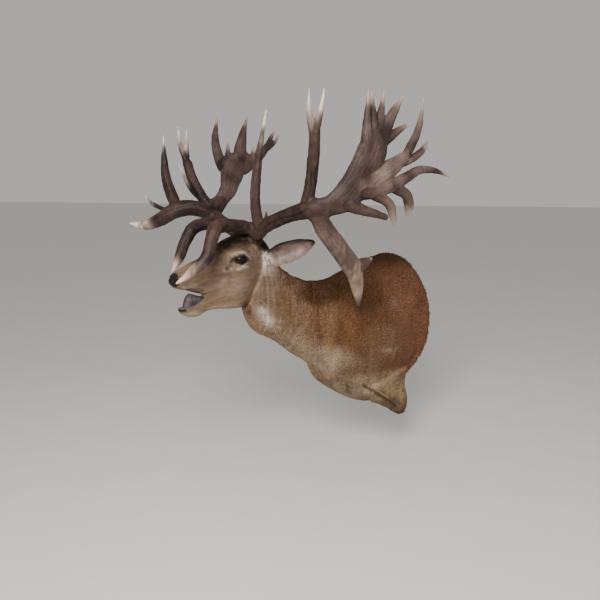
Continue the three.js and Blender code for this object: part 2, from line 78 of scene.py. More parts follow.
# %% [markdown]
# ## Three frames
# The wall is the plane Y = 0. A stag is easier to describe along its own spine, and its face along its own nose,
# so the shapes are written in a body frame and a head frame, in millimetres, and turned into the wall's frame
# by two rotations. Points are rows of a NumPy array, which moves a hundred thousand of them at once.

# %% Frames
MM = 0.001


def turn(axis, degrees):
    c, s = math.cos(math.radians(degrees)), math.sin(math.radians(degrees))
    rows = {"z": [[c, -s, 0], [s, c, 0], [0, 0, 1]], "y": [[c, 0, s], [0, 1, 0], [-s, 0, c]]}
    return np.array(rows[axis])


BODY_TURN, BODY_ORIGIN = turn("z", 230), np.array([-38.0, 0, 0])
HEAD_TURN, HEAD_ORIGIN = turn("z", 7) @ turn("y", 8), np.array([814.0, 0, 400])


def body_to_wall(points):
    return np.asarray(points, float) @ BODY_TURN.T + BODY_ORIGIN


def head_to_body(points):
    return np.asarray(points, float) @ HEAD_TURN.T + HEAD_ORIGIN


def head_to_wall(points):
    return body_to_wall(head_to_body(points))


def wall_to_body(points):
    return (points - BODY_ORIGIN) @ BODY_TURN


def body_to_head(points):
    return (points - HEAD_ORIGIN) @ HEAD_TURN


def unit(vectors):
    return vectors / np.maximum(np.linalg.norm(vectors, axis=-1, keepdims=True), 1e-9)


def ease(x, low, high):
    """0 below low, 1 above high and smooth between."""
    t = np.clip((x - low) / (high - low), 0, 1)
    return t * t * (3 - 2 * t)


# %% [markdown]
# ## Meshes from arrays
# A closed form is a row of rings skinned together, with a fan at each end. Four helpers cover the whole stag:
# one skins rings, one makes a Blender mesh from arrays, one reads a mesh back, and one lets points relax towards
# their neighbours, which is what a thumb does to wet clay. A noise of our own gives the same lumps on each run.

# %% Mesh helpers
def skin_rings(rings):
    """Rings of the same count to points and outward triangles."""
    rings = np.asarray(rings, float)
    rows, count = rings.shape[:2]
    i = np.arange(count)
    j = (i + 1) % count
    faces = []
    for r in range(rows - 1):
        a, b = r * count, (r + 1) * count
        faces += [np.stack([a + i, a + j, b + i], 1), np.stack([a + j, b + j, b + i], 1)]
    first, last = rows * count, rows * count + 1
    end = (rows - 1) * count
    faces += [np.stack([j, i, np.full(count, first)], 1), np.stack([end + i, end + j, np.full(count, last)], 1)]
    points = np.concatenate([rings.reshape(-1, 3), rings[:1].mean(1), rings[-1:].mean(1)])
    faces = np.concatenate(faces)
    a, b, c = (points[faces[:, k]] for k in range(3))
    if np.einsum("ij,ij->i", a, np.cross(b, c)).sum() < 0:
        faces = faces[:, ::-1]
    return points, faces


def join_shells(shells):
    points, faces, start = [], [], 0
    for p, f in shells:
        points.append(p)
        faces.append(f + start)
        start += len(p)
    return np.concatenate(points), np.concatenate(faces)


def new_object(name, points, faces):
    mesh = bpy.data.meshes.new(name)
    mesh.from_pydata(points * MM, [], faces)
    mesh.update()
    made = bpy.data.objects.new(name, mesh)
    bpy.context.scene.collection.objects.link(made)
    return made


def settle(piece, modifiers):
    """Applies modifiers, given as (type, settings), by taking the evaluated mesh."""
    for kind, settings in modifiers:
        modifier = piece.modifiers.new(kind.lower(), kind)
        for key, value in settings.items():
            setattr(modifier, key, value)
    graph = bpy.context.evaluated_depsgraph_get()
    mesh = bpy.data.meshes.new_from_object(piece.evaluated_get(graph))
    piece.modifiers.clear()
    old, piece.data = piece.data, mesh
    name = old.name
    bpy.data.meshes.remove(old)
    mesh.name = name
    return piece


def points_of(piece):
    co = np.empty(len(piece.data.vertices) * 3)
    piece.data.vertices.foreach_get("co", co)
    return co.reshape(-1, 3) / MM


def normals_of(piece):
    no = np.empty(len(piece.data.vertices) * 3)
    piece.data.vertices.foreach_get("normal", no)
    return no.reshape(-1, 3)


def put_points(piece, points):
    piece.data.vertices.foreach_set("co", (points * MM).ravel())
    piece.data.update()


def edges_of(piece):
    ends = np.empty(len(piece.data.edges) * 2, int)
    piece.data.edges.foreach_get("vertices", ends)
    return ends.reshape(-1, 2)


def relax(points, edges, weight, rounds):
    """Moves each point towards the middle of its neighbours, by its own weight."""
    count = len(points)
    a, b = edges.T
    degree = np.maximum(np.bincount(edges.ravel(), minlength=count), 1)[:, None]
    weight = np.broadcast_to(weight, count)[:, None]
    for _ in range(rounds):
        total = np.stack([np.bincount(a, points[b, k], count) + np.bincount(b, points[a, k], count)
                          for k in range(3)], 1)
        points = points + weight * (total / degree - points)
    return points


def cloud(points, size, seed):
    """Smooth noise from -1 to 1 in lumps about size across."""
    q = points / size
    cell = np.floor(q).astype(np.int64)
    f = q - cell
    f = f * f * (3 - 2 * f)
    total = np.zeros(len(points))
    for corner in np.ndindex(2, 2, 2):
        k = cell + corner
        h = (k[:, 0] * 73856093 ^ k[:, 1] * 19349663 ^ k[:, 2] * 83492791 ^ seed * 40503) & 0xFFFFFF
        h = (h * 1103515245 + 12345) & 0x7FFFFFFF
        h = (h ^ (h >> 13)) & 0xFFFFF
        total += (h / 0x7FFFF - 1) * np.prod(np.where(corner, f, 1 - f), axis=1)
    return total


def triangles_of(piece):
    corners = np.empty(len(piece.data.polygons) * 3, int)
    piece.data.polygons.foreach_get("vertices", corners)
    return corners.reshape(-1, 3)


def face_normals(piece):
    no = np.empty(len(piece.data.polygons) * 3)
    piece.data.polygons.foreach_get("normal", no)
    return no.reshape(-1, 3)


def attribute(piece, name, values, domain="POINT"):
    """Stores one value, or one vector or colour, for each point or face."""
    values = np.asarray(values, np.float32)
    kind = {1: "FLOAT", 3: "FLOAT_VECTOR", 4: "FLOAT_COLOR"}[1 if values.ndim == 1 else values.shape[1]]
    layer = piece.data.attributes.new(name, kind, domain)
    layer.data.foreach_set({"FLOAT": "value", "FLOAT_VECTOR": "vector", "FLOAT_COLOR": "color"}[kind], values.ravel())


def smooth_shading(piece):
    piece.data.polygons.foreach_set("use_smooth", np.ones(len(piece.data.polygons), bool))
    piece.data.update()


# %% [markdown]
# ## The flesh, as one animal
# A taxidermist stretches one skin over a carved form. Here the form is a set of lofts: trunk with neck, skull,
# jaw, legs, ears and the two bone stumps that carry the antlers. Each row of a loft gives where the top and the
# bottom line run, how wide the animal is there, and how far down it is widest.

# %% Lofted forms
def through(rows, steps):
    """Catmull-Rom through rows of numbers, steps to each span."""
    rows = np.asarray(rows, float)
    t = np.linspace(0, len(rows) - 1, (len(rows) - 1) * steps + 1)
    k = np.minimum(t.astype(int), len(rows) - 2)
    u = (t - k)[:, None]
    p0, p1, p2, p3 = (rows[np.clip(k + i, 0, len(rows) - 1)] for i in (-1, 0, 1, 2))
    return 0.5 * (2 * p1 + (p2 - p0) * u + (2 * p0 - 5 * p1 + 4 * p2 - p3) * u ** 2
                  + (3 * p1 - p0 - 3 * p2 + p3) * u ** 3)


def loft(stations, around=72, steps=6):
    angle = np.linspace(0, 2 * np.pi, around, endpoint=False)
    rings = []
    for tx, tz, bx, bz, half, widest, square in through(stations, steps):
        down = ((1 - np.cos(angle)) / 2) ** (math.log(widest) / math.log(0.5))
        side = half * np.sign(np.sin(angle)) * np.abs(np.sin(angle)) ** square
        rings.append(np.stack([tx + (bx - tx) * down, side, tz + (bz - tz) * down], 1))
    return skin_rings(rings)


# top x, z, bottom x, z, half width, widest, squareness
BODY_STATIONS = [
    [-300, 315, -300, -170, 146, 0.52, 0.80], [-190, 332, -190, -182, 152, 0.52, 0.80],
    [-110, 343, -110, -197, 156, 0.53, 0.82], [-30, 352, -30, -222, 160, 0.54, 0.84],
    [40, 354, 50, -282, 165, 0.54, 0.86], [110, 347, 130, -312, 170, 0.55, 0.88],
    [190, 325, 225, -282, 166, 0.56, 0.88], [262, 302, 315, -230, 154, 0.56, 0.90],
    [330, 281, 386, -174, 138, 0.56, 0.92], [385, 274, 412, -122, 127, 0.56, 0.93],
    [440, 277, 452, -82, 118, 0.55, 0.93], [500, 294, 520, -32, 110, 0.54, 0.93],
    [560, 322, 590, 24, 104, 0.52, 0.93], [612, 357, 655, 66, 97, 0.50, 0.92],
    [655, 400, 715, 102, 87, 0.50, 0.90], [690, 436, 752, 160, 70, 0.50, 0.90],
    [715, 430, 765, 240, 48, 0.50, 0.90]]
HEAD_STATIONS = [
    [-172, -5, -150, -95, 40, 0.50, 0.85], [-150, 38, -125, -150, 58, 0.50, 0.85],
    [-120, 62, -95, -182, 68, 0.48, 0.85], [-80, 76, -60, -190, 71, 0.44, 0.85],
    [-40, 77, -30, -190, 73, 0.38, 0.88], [-5, 71, 0, -188, 74, 0.32, 0.90],
    [28, 61, 28, -178, 68, 0.32, 0.90], [60, 49, 62, -150, 57, 0.36, 0.90],
    [100, 37, 102, -118, 48, 0.42, 0.88], [140, 29, 140, -104, 42, 0.46, 0.86],
    [182, 23, 176, -90, 39, 0.50, 0.84], [218, 13, 210, -72, 38, 0.52, 0.84],
    [246, 3, 238, -58, 36, 0.52, 0.84], [262, -8, 254, -50, 30, 0.50, 0.86],
    [269, -20, 262, -42, 18, 0.50, 0.90]]
JAW_STATIONS = [
    [-75, -60, -70, -188, 56, 0.50, 0.85], [-20, -66, -15, -196, 52, 0.50, 0.85],
    [40, -80, 40, -188, 44, 0.50, 0.85], [90, -92, 90, -174, 36, 0.50, 0.85],
    [135, -102, 132, -166, 31, 0.48, 0.85], [172, -113, 164, -168, 28, 0.46, 0.85],
    [202, -122, 194, -174, 26, 0.44, 0.85], [228, -124, 222, -166, 22, 0.42, 0.85],
    [247, -121, 241, -151, 16, 0.45, 0.85], [257, -125, 252, -141, 8, 0.50, 0.85]]
# z, rear x, front x, half thickness
LEG_STATIONS = [
    [-150, -40, 190, 40], [-215, -18, 228, 44], [-262, -24, 205, 44], [-295, -28, 152, 40],
    [-325, -28, 98, 34], [-352, -18, 58, 25], [-369, 2, 34, 12]]
LEGS = {1: (0, 1, 1), -1: (122, 0.55, 0.84)}     # side: forward, reach, drop


def leg(side):
    forward, reach, drop = LEGS[side]
    angle = np.linspace(0, 2 * np.pi, 40, endpoint=False)
    rings = []
    for z, rear, front, thick in through(LEG_STATIONS, 6):
        half = reach * (front - rear) / 2
        x = forward + rear + half * (1 + np.cos(angle))
        y = side * (112 + 0.05 * (-150 - z) + thick * np.sin(angle))
        rings.append(np.stack([x, y, np.full(40, z * drop)], 1))
    return skin_rings(rings)


PEDICLE_FOOT, PEDICLE_TOP = np.array([-78.0, 40, 40]), np.array([-86.0, 54, 78])


def pedicle_axis(side):
    """Foot and top of the bone stump under an antler, in the body's frame."""
    foot, top = head_to_body(np.array([PEDICLE_FOOT, PEDICLE_TOP]) * [1, side, 1])
    return top, unit(top - foot)


def turned(top, along, profile, around=48):
    """A lathe form: profile rows are radius and height over top."""
    side = unit(np.cross(along, [0.0, 0, 1]))
    other = np.cross(along, side)
    angle = np.linspace(0, 2 * np.pi, around, endpoint=False)[:, None]
    return skin_rings([top + along * h + r * (np.cos(angle) * side + np.sin(angle) * other) for r, h in profile])


print("lofts:", len(BODY_STATIONS), len(HEAD_STATIONS), len(JAW_STATIONS), len(LEG_STATIONS))

# %% [markdown]
# ## Ears
# An ear is a leaf rolled into a trough: narrow at the butt, widest a third of the way along, pointed at the tip.
# The same rule that shapes the solid shapes this finer leaf. Where a point lies along and across the leaf is kept
# as a function, because the hair and the colours need it too.

# %% Ear leaves
EAR = {"root": (-112, 50, -42), "way": (-0.49, 0.80, 0.45), "open": (0.62, 0.50, -0.60), "length": 228,
       "width": 90, "wall": 5.6, "depth": 26, "butt_end": 0.28, "butt_width": 0.58, "butt_thick": 28, "curl": 14}
SPARE = 2.8        # a leaf is this much too thick on each side until the remesh is done, or it would tear


def ear_frame(side):
    mirror = np.array([1.0, side, 1])
    root = head_to_body(np.array(EAR["root"]) * mirror)
    way = unit(np.array(EAR["way"]) * mirror)
    hollow = np.array(EAR["open"]) * mirror
    hollow = unit(hollow - way * (hollow @ way))
    return root, way, hollow, np.cross(way, hollow)


def leaf_share(t):
    """Half width of the leaf at t along it, as a share of the widest."""
    leaf = np.maximum(np.sin(np.pi * (0.2 + 0.8 * t) ** 1.25), 0) ** 0.8
    butt = ease(t, 0, EAR["butt_end"])
    at_end = math.sin(math.pi * (0.2 + 0.8 * EAR["butt_end"]) ** 1.25) ** 0.8
    return np.where(t < EAR["butt_end"], EAR["butt_width"] + (at_end - EAR["butt_width"]) * butt, leaf)


def ear(side, rows=44, across=14):
    root, way, hollow, width = ear_frame(side)
    rings = []
    for t in np.linspace(0, 1, rows + 1):
        butt = ease(t, 0, EAR["butt_end"])
        share = leaf_share(t)
        spare = SPARE * float(ease(t, 0.10, 0.24))
        half = max(2.5, EAR["width"] / 2 * share) + spare
        depth = EAR["depth"] * share * (0.25 + 0.75 * butt)
        thick = EAR["butt_thick"] + (EAR["wall"] - EAR["butt_thick"]) * butt
        centre = root + way * EAR["length"] * t + hollow * EAR["curl"] * t * t
        ring = []
        for offset, direction in ((spare, 1), (-thick - spare, -1)):
            s = direction * np.linspace(-1, 1, across + 1)[:, None]
            out = offset * (1 - 0.3 * s * s) - depth * (1 - s * s)
            ring.append(centre + width * s * half + hollow * out)
        rings.append(np.concatenate(ring))
    return skin_rings(rings)


def ear_place(body_points, side):
    """How far along (0 to 1) and across (-1 to 1) an ear each point lies, and how far towards its hollow."""
    root, way, hollow, width = ear_frame(side)
    q = body_points - root
    along = q @ way / EAR["length"]
    across = (q @ width) / np.maximum(EAR["width"] / 2 * leaf_share(np.clip(along, 0, 1)), 3)
    return along, across, q @ hollow


# %% [markdown]
# ## One skin
# The lofts overlap, as clay lumps pressed together do. Voxel remeshing turns them into one closed surface with an
# even grid. Relaxing melts the joins: much at the shoulder, little on the face, hardly at all on the thin ears.
# The skin is then drawn in by the depth of the coat, so that the tips of the hair reach the true outline.

# %% Remesh and relax
VOXEL = 0.0034
body_shells = [loft(BODY_STATIONS)] + [leg(side) for side in LEGS] + [ear(side) for side in (1, -1)]
for side in (1, -1):
    top, along = pedicle_axis(side)
    body_shells.append(turned(top, along, [(30, -60), (30, -20), (31, -2)]))
head_shells = [loft(HEAD_STATIONS), loft(JAW_STATIONS, around=56)]
shells = [(body_to_wall(p), f) for p, f in body_shells] + [(head_to_wall(p), f) for p, f in head_shells]
skin = new_object("skin", *join_shells(shells))
settle(skin, [("REMESH", {"mode": "VOXEL", "voxel_size": VOXEL, "adaptivity": 0.0})])


def keep_largest(piece):
    """Removes stray bubbles inside the remeshed form."""
    edges, count = edges_of(piece), len(piece.data.vertices)
    label = np.arange(count)
    while True:
        low = np.minimum(label[edges[:, 0]], label[edges[:, 1]])
        new = label.copy()
        np.minimum.at(new, edges[:, 0], low)
        np.minimum.at(new, edges[:, 1], low)
        new = new[new]
        if (new == label).all():
            break
        label = new
    names, sizes = np.unique(label, return_counts=True)
    if len(names) > 1:
        keep = label == names[sizes.argmax()]
        work = bmesh.new()
        work.from_mesh(piece.data)
        bmesh.ops.delete(work, geom=[v for v in work.verts if not keep[v.index]], context="VERTS")
        work.to_mesh(piece.data)
        work.free()
    return len(names)


print("shells in the remesh:", keep_largest(skin), "points:", len(skin.data.vertices))


def places(points):
    """Where points lie: body frame, head frame, and how much each is head or ear."""
    body = wall_to_body(points)
    head = body_to_head(body)
    in_ear = np.zeros(len(points))
    for side in (1, -1):
        along, across, _ = ear_place(body, side)
        near = ease(along, 0.10, 0.24) * (np.abs(across) < 1.5) * (side * body[:, 1] > 60)
        in_ear = np.maximum(in_ear, near)
    in_head = ease(head[:, 0], -190, -110) * (1 - in_ear)
    return body, head, in_head, in_ear


points = points_of(skin)
edges = edges_of(skin)
body, head, in_head, in_ear = places(points)
front_face = ease(head[:, 0], 80, 170)
weight = np.where(in_ear > 0.5, 0.25, 0.55 - 0.25 * in_head - 0.1 * front_face)
points = relax(points, edges, weight, 6)
points = relax(points, edges, np.where(in_head + in_ear > 0.3, 0.0, 0.6), 24)
put_points(skin, points)

# %% [markdown]
# ## How long the hair is
# A stag's summer coat is short. It is a centimetre or less on the face, two or more on the neck and shoulder,
# and longest on the throat. One function gives the length anywhere, and both the skin's depth and the tufts use it.

# %% Hair length and depth
FLAT = 0.21        # a hair's tip stands off the skin by this share of its length


def hair_length(body, head, in_head, in_ear):
    long = 21 + 5 * ease(body[:, 2], 150, 300) + 4 * ease(-body[:, 2], 0, 200)
    throat = ease(body[:, 0], 520, 640) * ease(120 - head[:, 0], 0, 200) * ease(-head[:, 2], 120, 200)
    long = long + 8 * throat
    face = 15 - 7.5 * ease(head[:, 0], -60, 60) - 3 * ease(head[:, 0], 120, 220)
    face = face + 5 * ease(head[:, 2], 45, 75) * ease(-head[:, 0], -20, 60)
    long = long * (1 - in_head) + face * in_head
    return long * (1 - in_ear) + 8 * in_ear


points = points_of(skin)
body, head, in_head, in_ear = places(points)
depth = FLAT * hair_length(body, head, in_head, in_ear) + 0.4
depth = depth * (1 - 0.55 * in_ear) * (1 - 0.85 * ease(head[:, 0], 205, 240)) + SPARE * in_ear
for side in (1, -1):
    rim = ease(np.abs(ear_place(body, side)[1]), 0.62, 0.95) * in_ear * (side * body[:, 1] > 60)
    depth = depth * (1 - 0.8 * rim)
points = points - normals_of(skin) * depth[:, None]
put_points(skin, points)
print("coat depth from", depth.min().round(2), "to", depth.max().round(2), "mm")

# %% [markdown]
# ## Lighten, cut and recess
# The body is smooth, so it needs far fewer faces than the head: Decimate with a vertex group thins only there.
# Then a plane cuts the skin where it meets the wall, and a Boolean sinks the recess for the board.

# %% Cut at the wall
WALL_GAP = 1.0
BOARD = {"half_width": 135, "middle": 30, "half_height": 245, "thickness": 18}


def thin_out(piece, weights, ratio):
    group = piece.vertex_groups.new(name="thin")
    for level in np.unique(weights.round(1)):
        group.add(np.nonzero(weights.round(1) == level)[0].tolist(), float(level), "REPLACE")
    settle(piece, [("DECIMATE", {"ratio": ratio, "vertex_group": "thin"})])
    piece.vertex_groups.clear()


thin_out(skin, 1 - np.clip(in_head + in_ear, 0, 1), 0.36)
work = bmesh.new()
work.from_mesh(skin.data)
cut = bmesh.ops.bisect_plane(work, geom=work.verts[:] + work.edges[:] + work.faces[:], clear_outer=True,
                             plane_co=(0, -WALL_GAP * MM, 0), plane_no=(0, 1, 0), dist=1e-6)
rim = [e for e in cut["geom_cut"] if isinstance(e, bmesh.types.BMEdge)]
bmesh.ops.triangle_fill(work, use_beauty=False, use_dissolve=False, edges=rim)
bmesh.ops.recalc_face_normals(work, faces=work.faces)
work.to_mesh(skin.data)
work.free()

angle = np.linspace(0, 2 * np.pi, 96, endpoint=False)
oval = np.stack([BODY_ORIGIN[0] + (BOARD["half_width"] + 1) * np.cos(angle), 0 * angle,
                 BOARD["middle"] + (BOARD["half_height"] + 1) * np.sin(angle)], 1)
recess = new_object("recess", *skin_rings([oval + [0, -BOARD["thickness"] - 1, 0], oval + [0, 30, 0]]))
settle(skin, [("BOOLEAN", {"operation": "DIFFERENCE", "object": recess, "solver": "EXACT"}),
              ("TRIANGULATE", {})])
bpy.data.objects.remove(recess)
print("skin after the cuts:", len(skin.data.polygons), "faces")

# %% [markdown]
# ## Finer where the face needs it
# Lids, nostrils and lips are only a few millimetres across. Faces near them are split once or twice more, and
# everywhere else the mesh stays light.

# %% Local subdivision
EYE_CENTRE, EYE_RADIUS = np.array([6.0, 57, 2]), 21.0


def split_near(piece, centre, radius):
    head_points = places(points_of(piece))[1]
    near = np.linalg.norm((head_points - centre) / radius, axis=1) < 1
    work = bmesh.new()
    work.from_mesh(piece.data)
    work.verts.ensure_lookup_table()
    chosen = [e for e in work.edges if near[e.verts[0].index] and near[e.verts[1].index]]
    bmesh.ops.subdivide_edges(work, edges=chosen, cuts=1, use_grid_fill=True)
    bmesh.ops.triangulate(work, faces=[f for f in work.faces if len(f.verts) > 3])
    work.to_mesh(piece.data)
    work.free()


for side in (1, -1):
    split_near(skin, EYE_CENTRE * [1, side, 1] + [10, side * 12, 0], (52, 30, 40))
    split_near(skin, EYE_CENTRE * [1, side, 1] + [2, side * 12, 0], (34, 26, 24))
split_near(skin, (235, 0, -45), (55, 60, 75))
print("skin after splitting:", len(skin.data.polygons), "faces")

# %% [markdown]
# ## Sculpting the head
# Each fold is a push along one direction by a smooth amount. The eye is an almond: inside it the skin drops behind
# the glass, its rim rides on the glass as a rolled lid, and further out it blends into the cheek. The tear pit is
# a slit in front of the eye, and the nostril a comma at the nose's side.

# %% Lids, tear pit, nostrils and lips
ALMOND = {"centre": (7.0, 1.5), "half": (24.5, 12.5), "tilt": 13}


def almond_of(head):
    """Distance from an eye's middle, 1 on the rim of the open eye, and height over its long axis."""
    c, s = math.cos(math.radians(ALMOND["tilt"])), math.sin(math.radians(ALMOND["tilt"]))
    dx, dz = head[:, 0] - ALMOND["centre"][0], head[:, 2] - ALMOND["centre"][1]
    u, w = (dx * c + dz * s) / ALMOND["half"][0], (dz * c - dx * s) / ALMOND["half"][1]
    return (np.abs(u) ** 1.6 + np.abs(w) ** 1.75) ** (1 / 1.68), u, w


def near_line(head, start, end, width):
    """1 on the line from start to end, easing to 0 at width from it, on both sides of the head."""
    q = np.stack([head[:, 0], np.abs(head[:, 1]), head[:, 2]], 1)
    start, end = np.array(start, float), np.array(end, float)
    t = np.clip((q - start) @ (end - start) / ((end - start) @ (end - start)), 0, 1)
    gap = np.linalg.norm(q - start - t[:, None] * (end - start), axis=1)
    return np.exp(-(gap / width) ** 2)


def sculpt_eye(head):
    out = head.copy()
    side = np.sign(head[:, 1])
    r, u, w = almond_of(head)
    d2 = (head[:, 0] - EYE_CENTRE[0]) ** 2 + (head[:, 2] - EYE_CENTRE[2]) ** 2
    y = np.abs(head[:, 1])
    near = (y > 40) & (r < 3.2) & (head[:, 0] < 75)

    def ball(radius):
        return EYE_CENTRE[1] + np.sqrt(np.maximum(radius ** 2 - d2, 4.0))
    inside = ball(EYE_RADIUS - 4.5)
    lid = ball(EYE_RADIUS + 3.6) + 0.6 * np.cos(np.clip(w, -2, 2) * 1.2)
    lid = np.maximum(lid, y * 0.55 + 31.5)
    swell = lid + (y - lid) * ease(r, 1.25, 2.3)
    swell = swell + 3.4 * np.exp(-((w - 2.15) / 0.55) ** 2) * ease(1.7 - np.abs(u), 0, 1.0)
    swell = swell - 1.7 * np.exp(-((r - 1.5) / 0.13) ** 2) * ease(w, -0.4, 0.6)
    swell = swell - 1.0 * np.exp(-((r - 1.42) / 0.12) ** 2) * ease(-w, -0.2, 0.6)
    target = inside + (swell - inside) * ease(r, 0.88, 1.02)
    out[:, 1] = np.where(near, side * target, head[:, 1])
    return out


points = points_of(skin)
body, head, in_head, in_ear = places(points)
head = np.where((in_head > 0.2)[:, None], sculpt_eye(head), head)
side = np.sign(head[:, 1])
push = np.zeros_like(head)
pit = near_line(head, (36, 68, 7), (64, 55, -15), 3.2) * (in_head > 0.5) * (np.abs(head[:, 1]) > 40)
wall_of_pit = near_line(head, (36, 68, 7), (64, 55, -15), 8.0) * (in_head > 0.5) * (np.abs(head[:, 1]) > 40)
push[:, 1] += side * (2.2 * wall_of_pit - 7.0 * pit)
cheekbone = near_line(head, (14, 74, -30), (120, 50, -42), 11)
hollow = near_line(head, (70, 56, -8), (170, 40, -24), 12)
jaw_muscle = near_line(head, (-30, 68, -85), (0, 60, -140), 30)
push[:, 1] += side * (in_head > 0.5) * (2.6 * cheekbone - 2.2 * hollow + 2.2 * jaw_muscle)
nostril = near_line(head, (262, 15, -19), (238, 36, -4), 4.6)
wing = near_line(head, (258, 22, -8), (234, 37, 2), 5.5)
push[:, 0] += -9.0 * nostril + 1.5 * wing
push[:, 1] += side * (2.4 * wing - 5.5 * nostril)
push[:, 2] += 1.2 * wing
philtrum = np.exp(-(head[:, 1] / 2.2) ** 2) * ease(head[:, 0], 236, 252) * ease(-head[:, 2], 14, 30)
push[:, 0] -= 3.0 * philtrum * ease(head[:, 2], -70, -58)
lip = near_line(head, (246, 24, -56), (176, 40, -88), 6.5)
push[:, 1] += side * 1.8 * lip
head = head + push
body = np.where((in_head > 0.05)[:, None], head_to_body(head), body)
folds = 1.7 * cloud(body * [1, 1, 0.22], 34, 5) + 1.2 * cloud(body * [1, 1, 0.3], 15, 8)
folds = folds * ease(body[:, 0], 330, 420) * ease(720 - body[:, 0], 0, 60)
crease = np.exp(-(np.linalg.norm((body - [150, 128, -232]) @ turn("y", -36) / [90, 60, 5.5], axis=1)) ** 2)
seam = np.exp(-((body[:, 0] - 702 - 0.03 * body[:, 2]) / 5) ** 2) * ease(body[:, 2], 40, 120) * 0.8
lumps = 2.0 * cloud(body, 95, 3) * (1 - np.clip(in_head + in_ear, 0, 1))
points = body_to_wall(body)
free = ease(-points[:, 1], 3, 25)
points = points + normals_of(skin) * ((folds + lumps - 6 * crease - 1.5 * seam) * free)[:, None]
put_points(skin, points)
smooth_shading(skin)
skin.data.set_sharp_from_angle(angle=math.radians(60))
print("skin:", len(skin.data.vertices), "points")

# %% [markdown]
# ## Writing shaders as sums
# Node trees are easier to read as formulas. A `Wire` stands for one socket: a sum on it adds the Math node that
# it needs, and `add` puts in any other node, with its settings first and then the values or wires it takes.

# %% Shader helper
class Wire:
    def __init__(self, tree, socket=None):
        self.tree, self.socket = tree, socket

    def add(self, kind, settings=(), inputs=(), output=0):
        node = self.tree.nodes.new(kind)
        for key, value in dict(settings).items():
            setattr(node, key, value)
        for key, value in dict(inputs).items():
            if isinstance(value, Wire):
                self.tree.links.new(value.socket, node.inputs[key])
            else:
                node.inputs[key].default_value = value
        return Wire(self.tree, node.outputs[output]) if node.outputs else node

    def math(self, operation, *values):
        return self.add("ShaderNodeMath", {"operation": operation}, dict(enumerate(values)))

    def __add__(self, other): return self.math("ADD", self, other)
    def __radd__(self, other): return self.math("ADD", other, self)
    def __sub__(self, other): return self.math("SUBTRACT", self, other)
    def __rsub__(self, other): return self.math("SUBTRACT", other, self)
    def __mul__(self, other): return self.math("MULTIPLY", self, other)
    def __rmul__(self, other): return self.math("MULTIPLY", other, self)
    def __pow__(self, other): return self.math("POWER", self, other)

    def between(self, low, high):
        """0 at low, 1 at high, clamped."""
        return self.add("ShaderNodeMapRange", {"interpolation_type": "SMOOTHSTEP"},
                        {"Value": self, "From Min": low, "From Max": high})

    def mix(self, factor, a, b, blend="MIX"):
        settings = {"data_type": "RGBA", "blend_type": blend, "clamp_factor": True}
        return self.add("ShaderNodeMix", settings, {0: factor, 6: a, 7: b}, output=2)

    def grey(self, value):
        return self.add("ShaderNodeCombineColor", {}, {0: value, 1: value, 2: value})

    def stored(self, name, output=0):
        return self.add("ShaderNodeAttribute", {"attribute_name": name}, output=output)

    def place(self):
        return self.add("ShaderNodeTexCoord", output=3)

    def noise(self, where, scale, detail=4.0, distortion=0.0):
        return self.add("ShaderNodeTexNoise", {}, {"Vector": where, "Scale": scale, "Detail": detail,
                                                   "Distortion": distortion})

    def stretched(self, where, scale):
        return self.add("ShaderNodeVectorMath", {"operation": "MULTIPLY"}, {0: where, 1: scale})

    def bump(self, height, distance, strength=1.0):
        return self.add("ShaderNodeBump", {}, {"Height": height, "Distance": distance, "Strength": strength})


def material(name, make):
    """A new material. make(wire) gives the Principled BSDF's inputs as a dict."""
    made = bpy.data.materials.new(name)
    made.use_nodes = True
    made.node_tree.nodes.clear()
    wire = Wire(made.node_tree)
    surface = wire.add("ShaderNodeBsdfPrincipled", {}, make(wire))
    wire.add("ShaderNodeOutputMaterial", {}, {"Surface": surface})
    return made

# %% [markdown]
# ## Markings
# A stag's colours are soft patches: a rufous shoulder, a darker line along the back, a paler brisket, a white
# throat, a dark forehead and pale rings round the eyes. Each patch is an ellipsoid with a soft edge, painted over
# a ground that follows the body. The skin and every tuft take their colour from this one function, so where the
# hair parts, the skin beneath it matches.

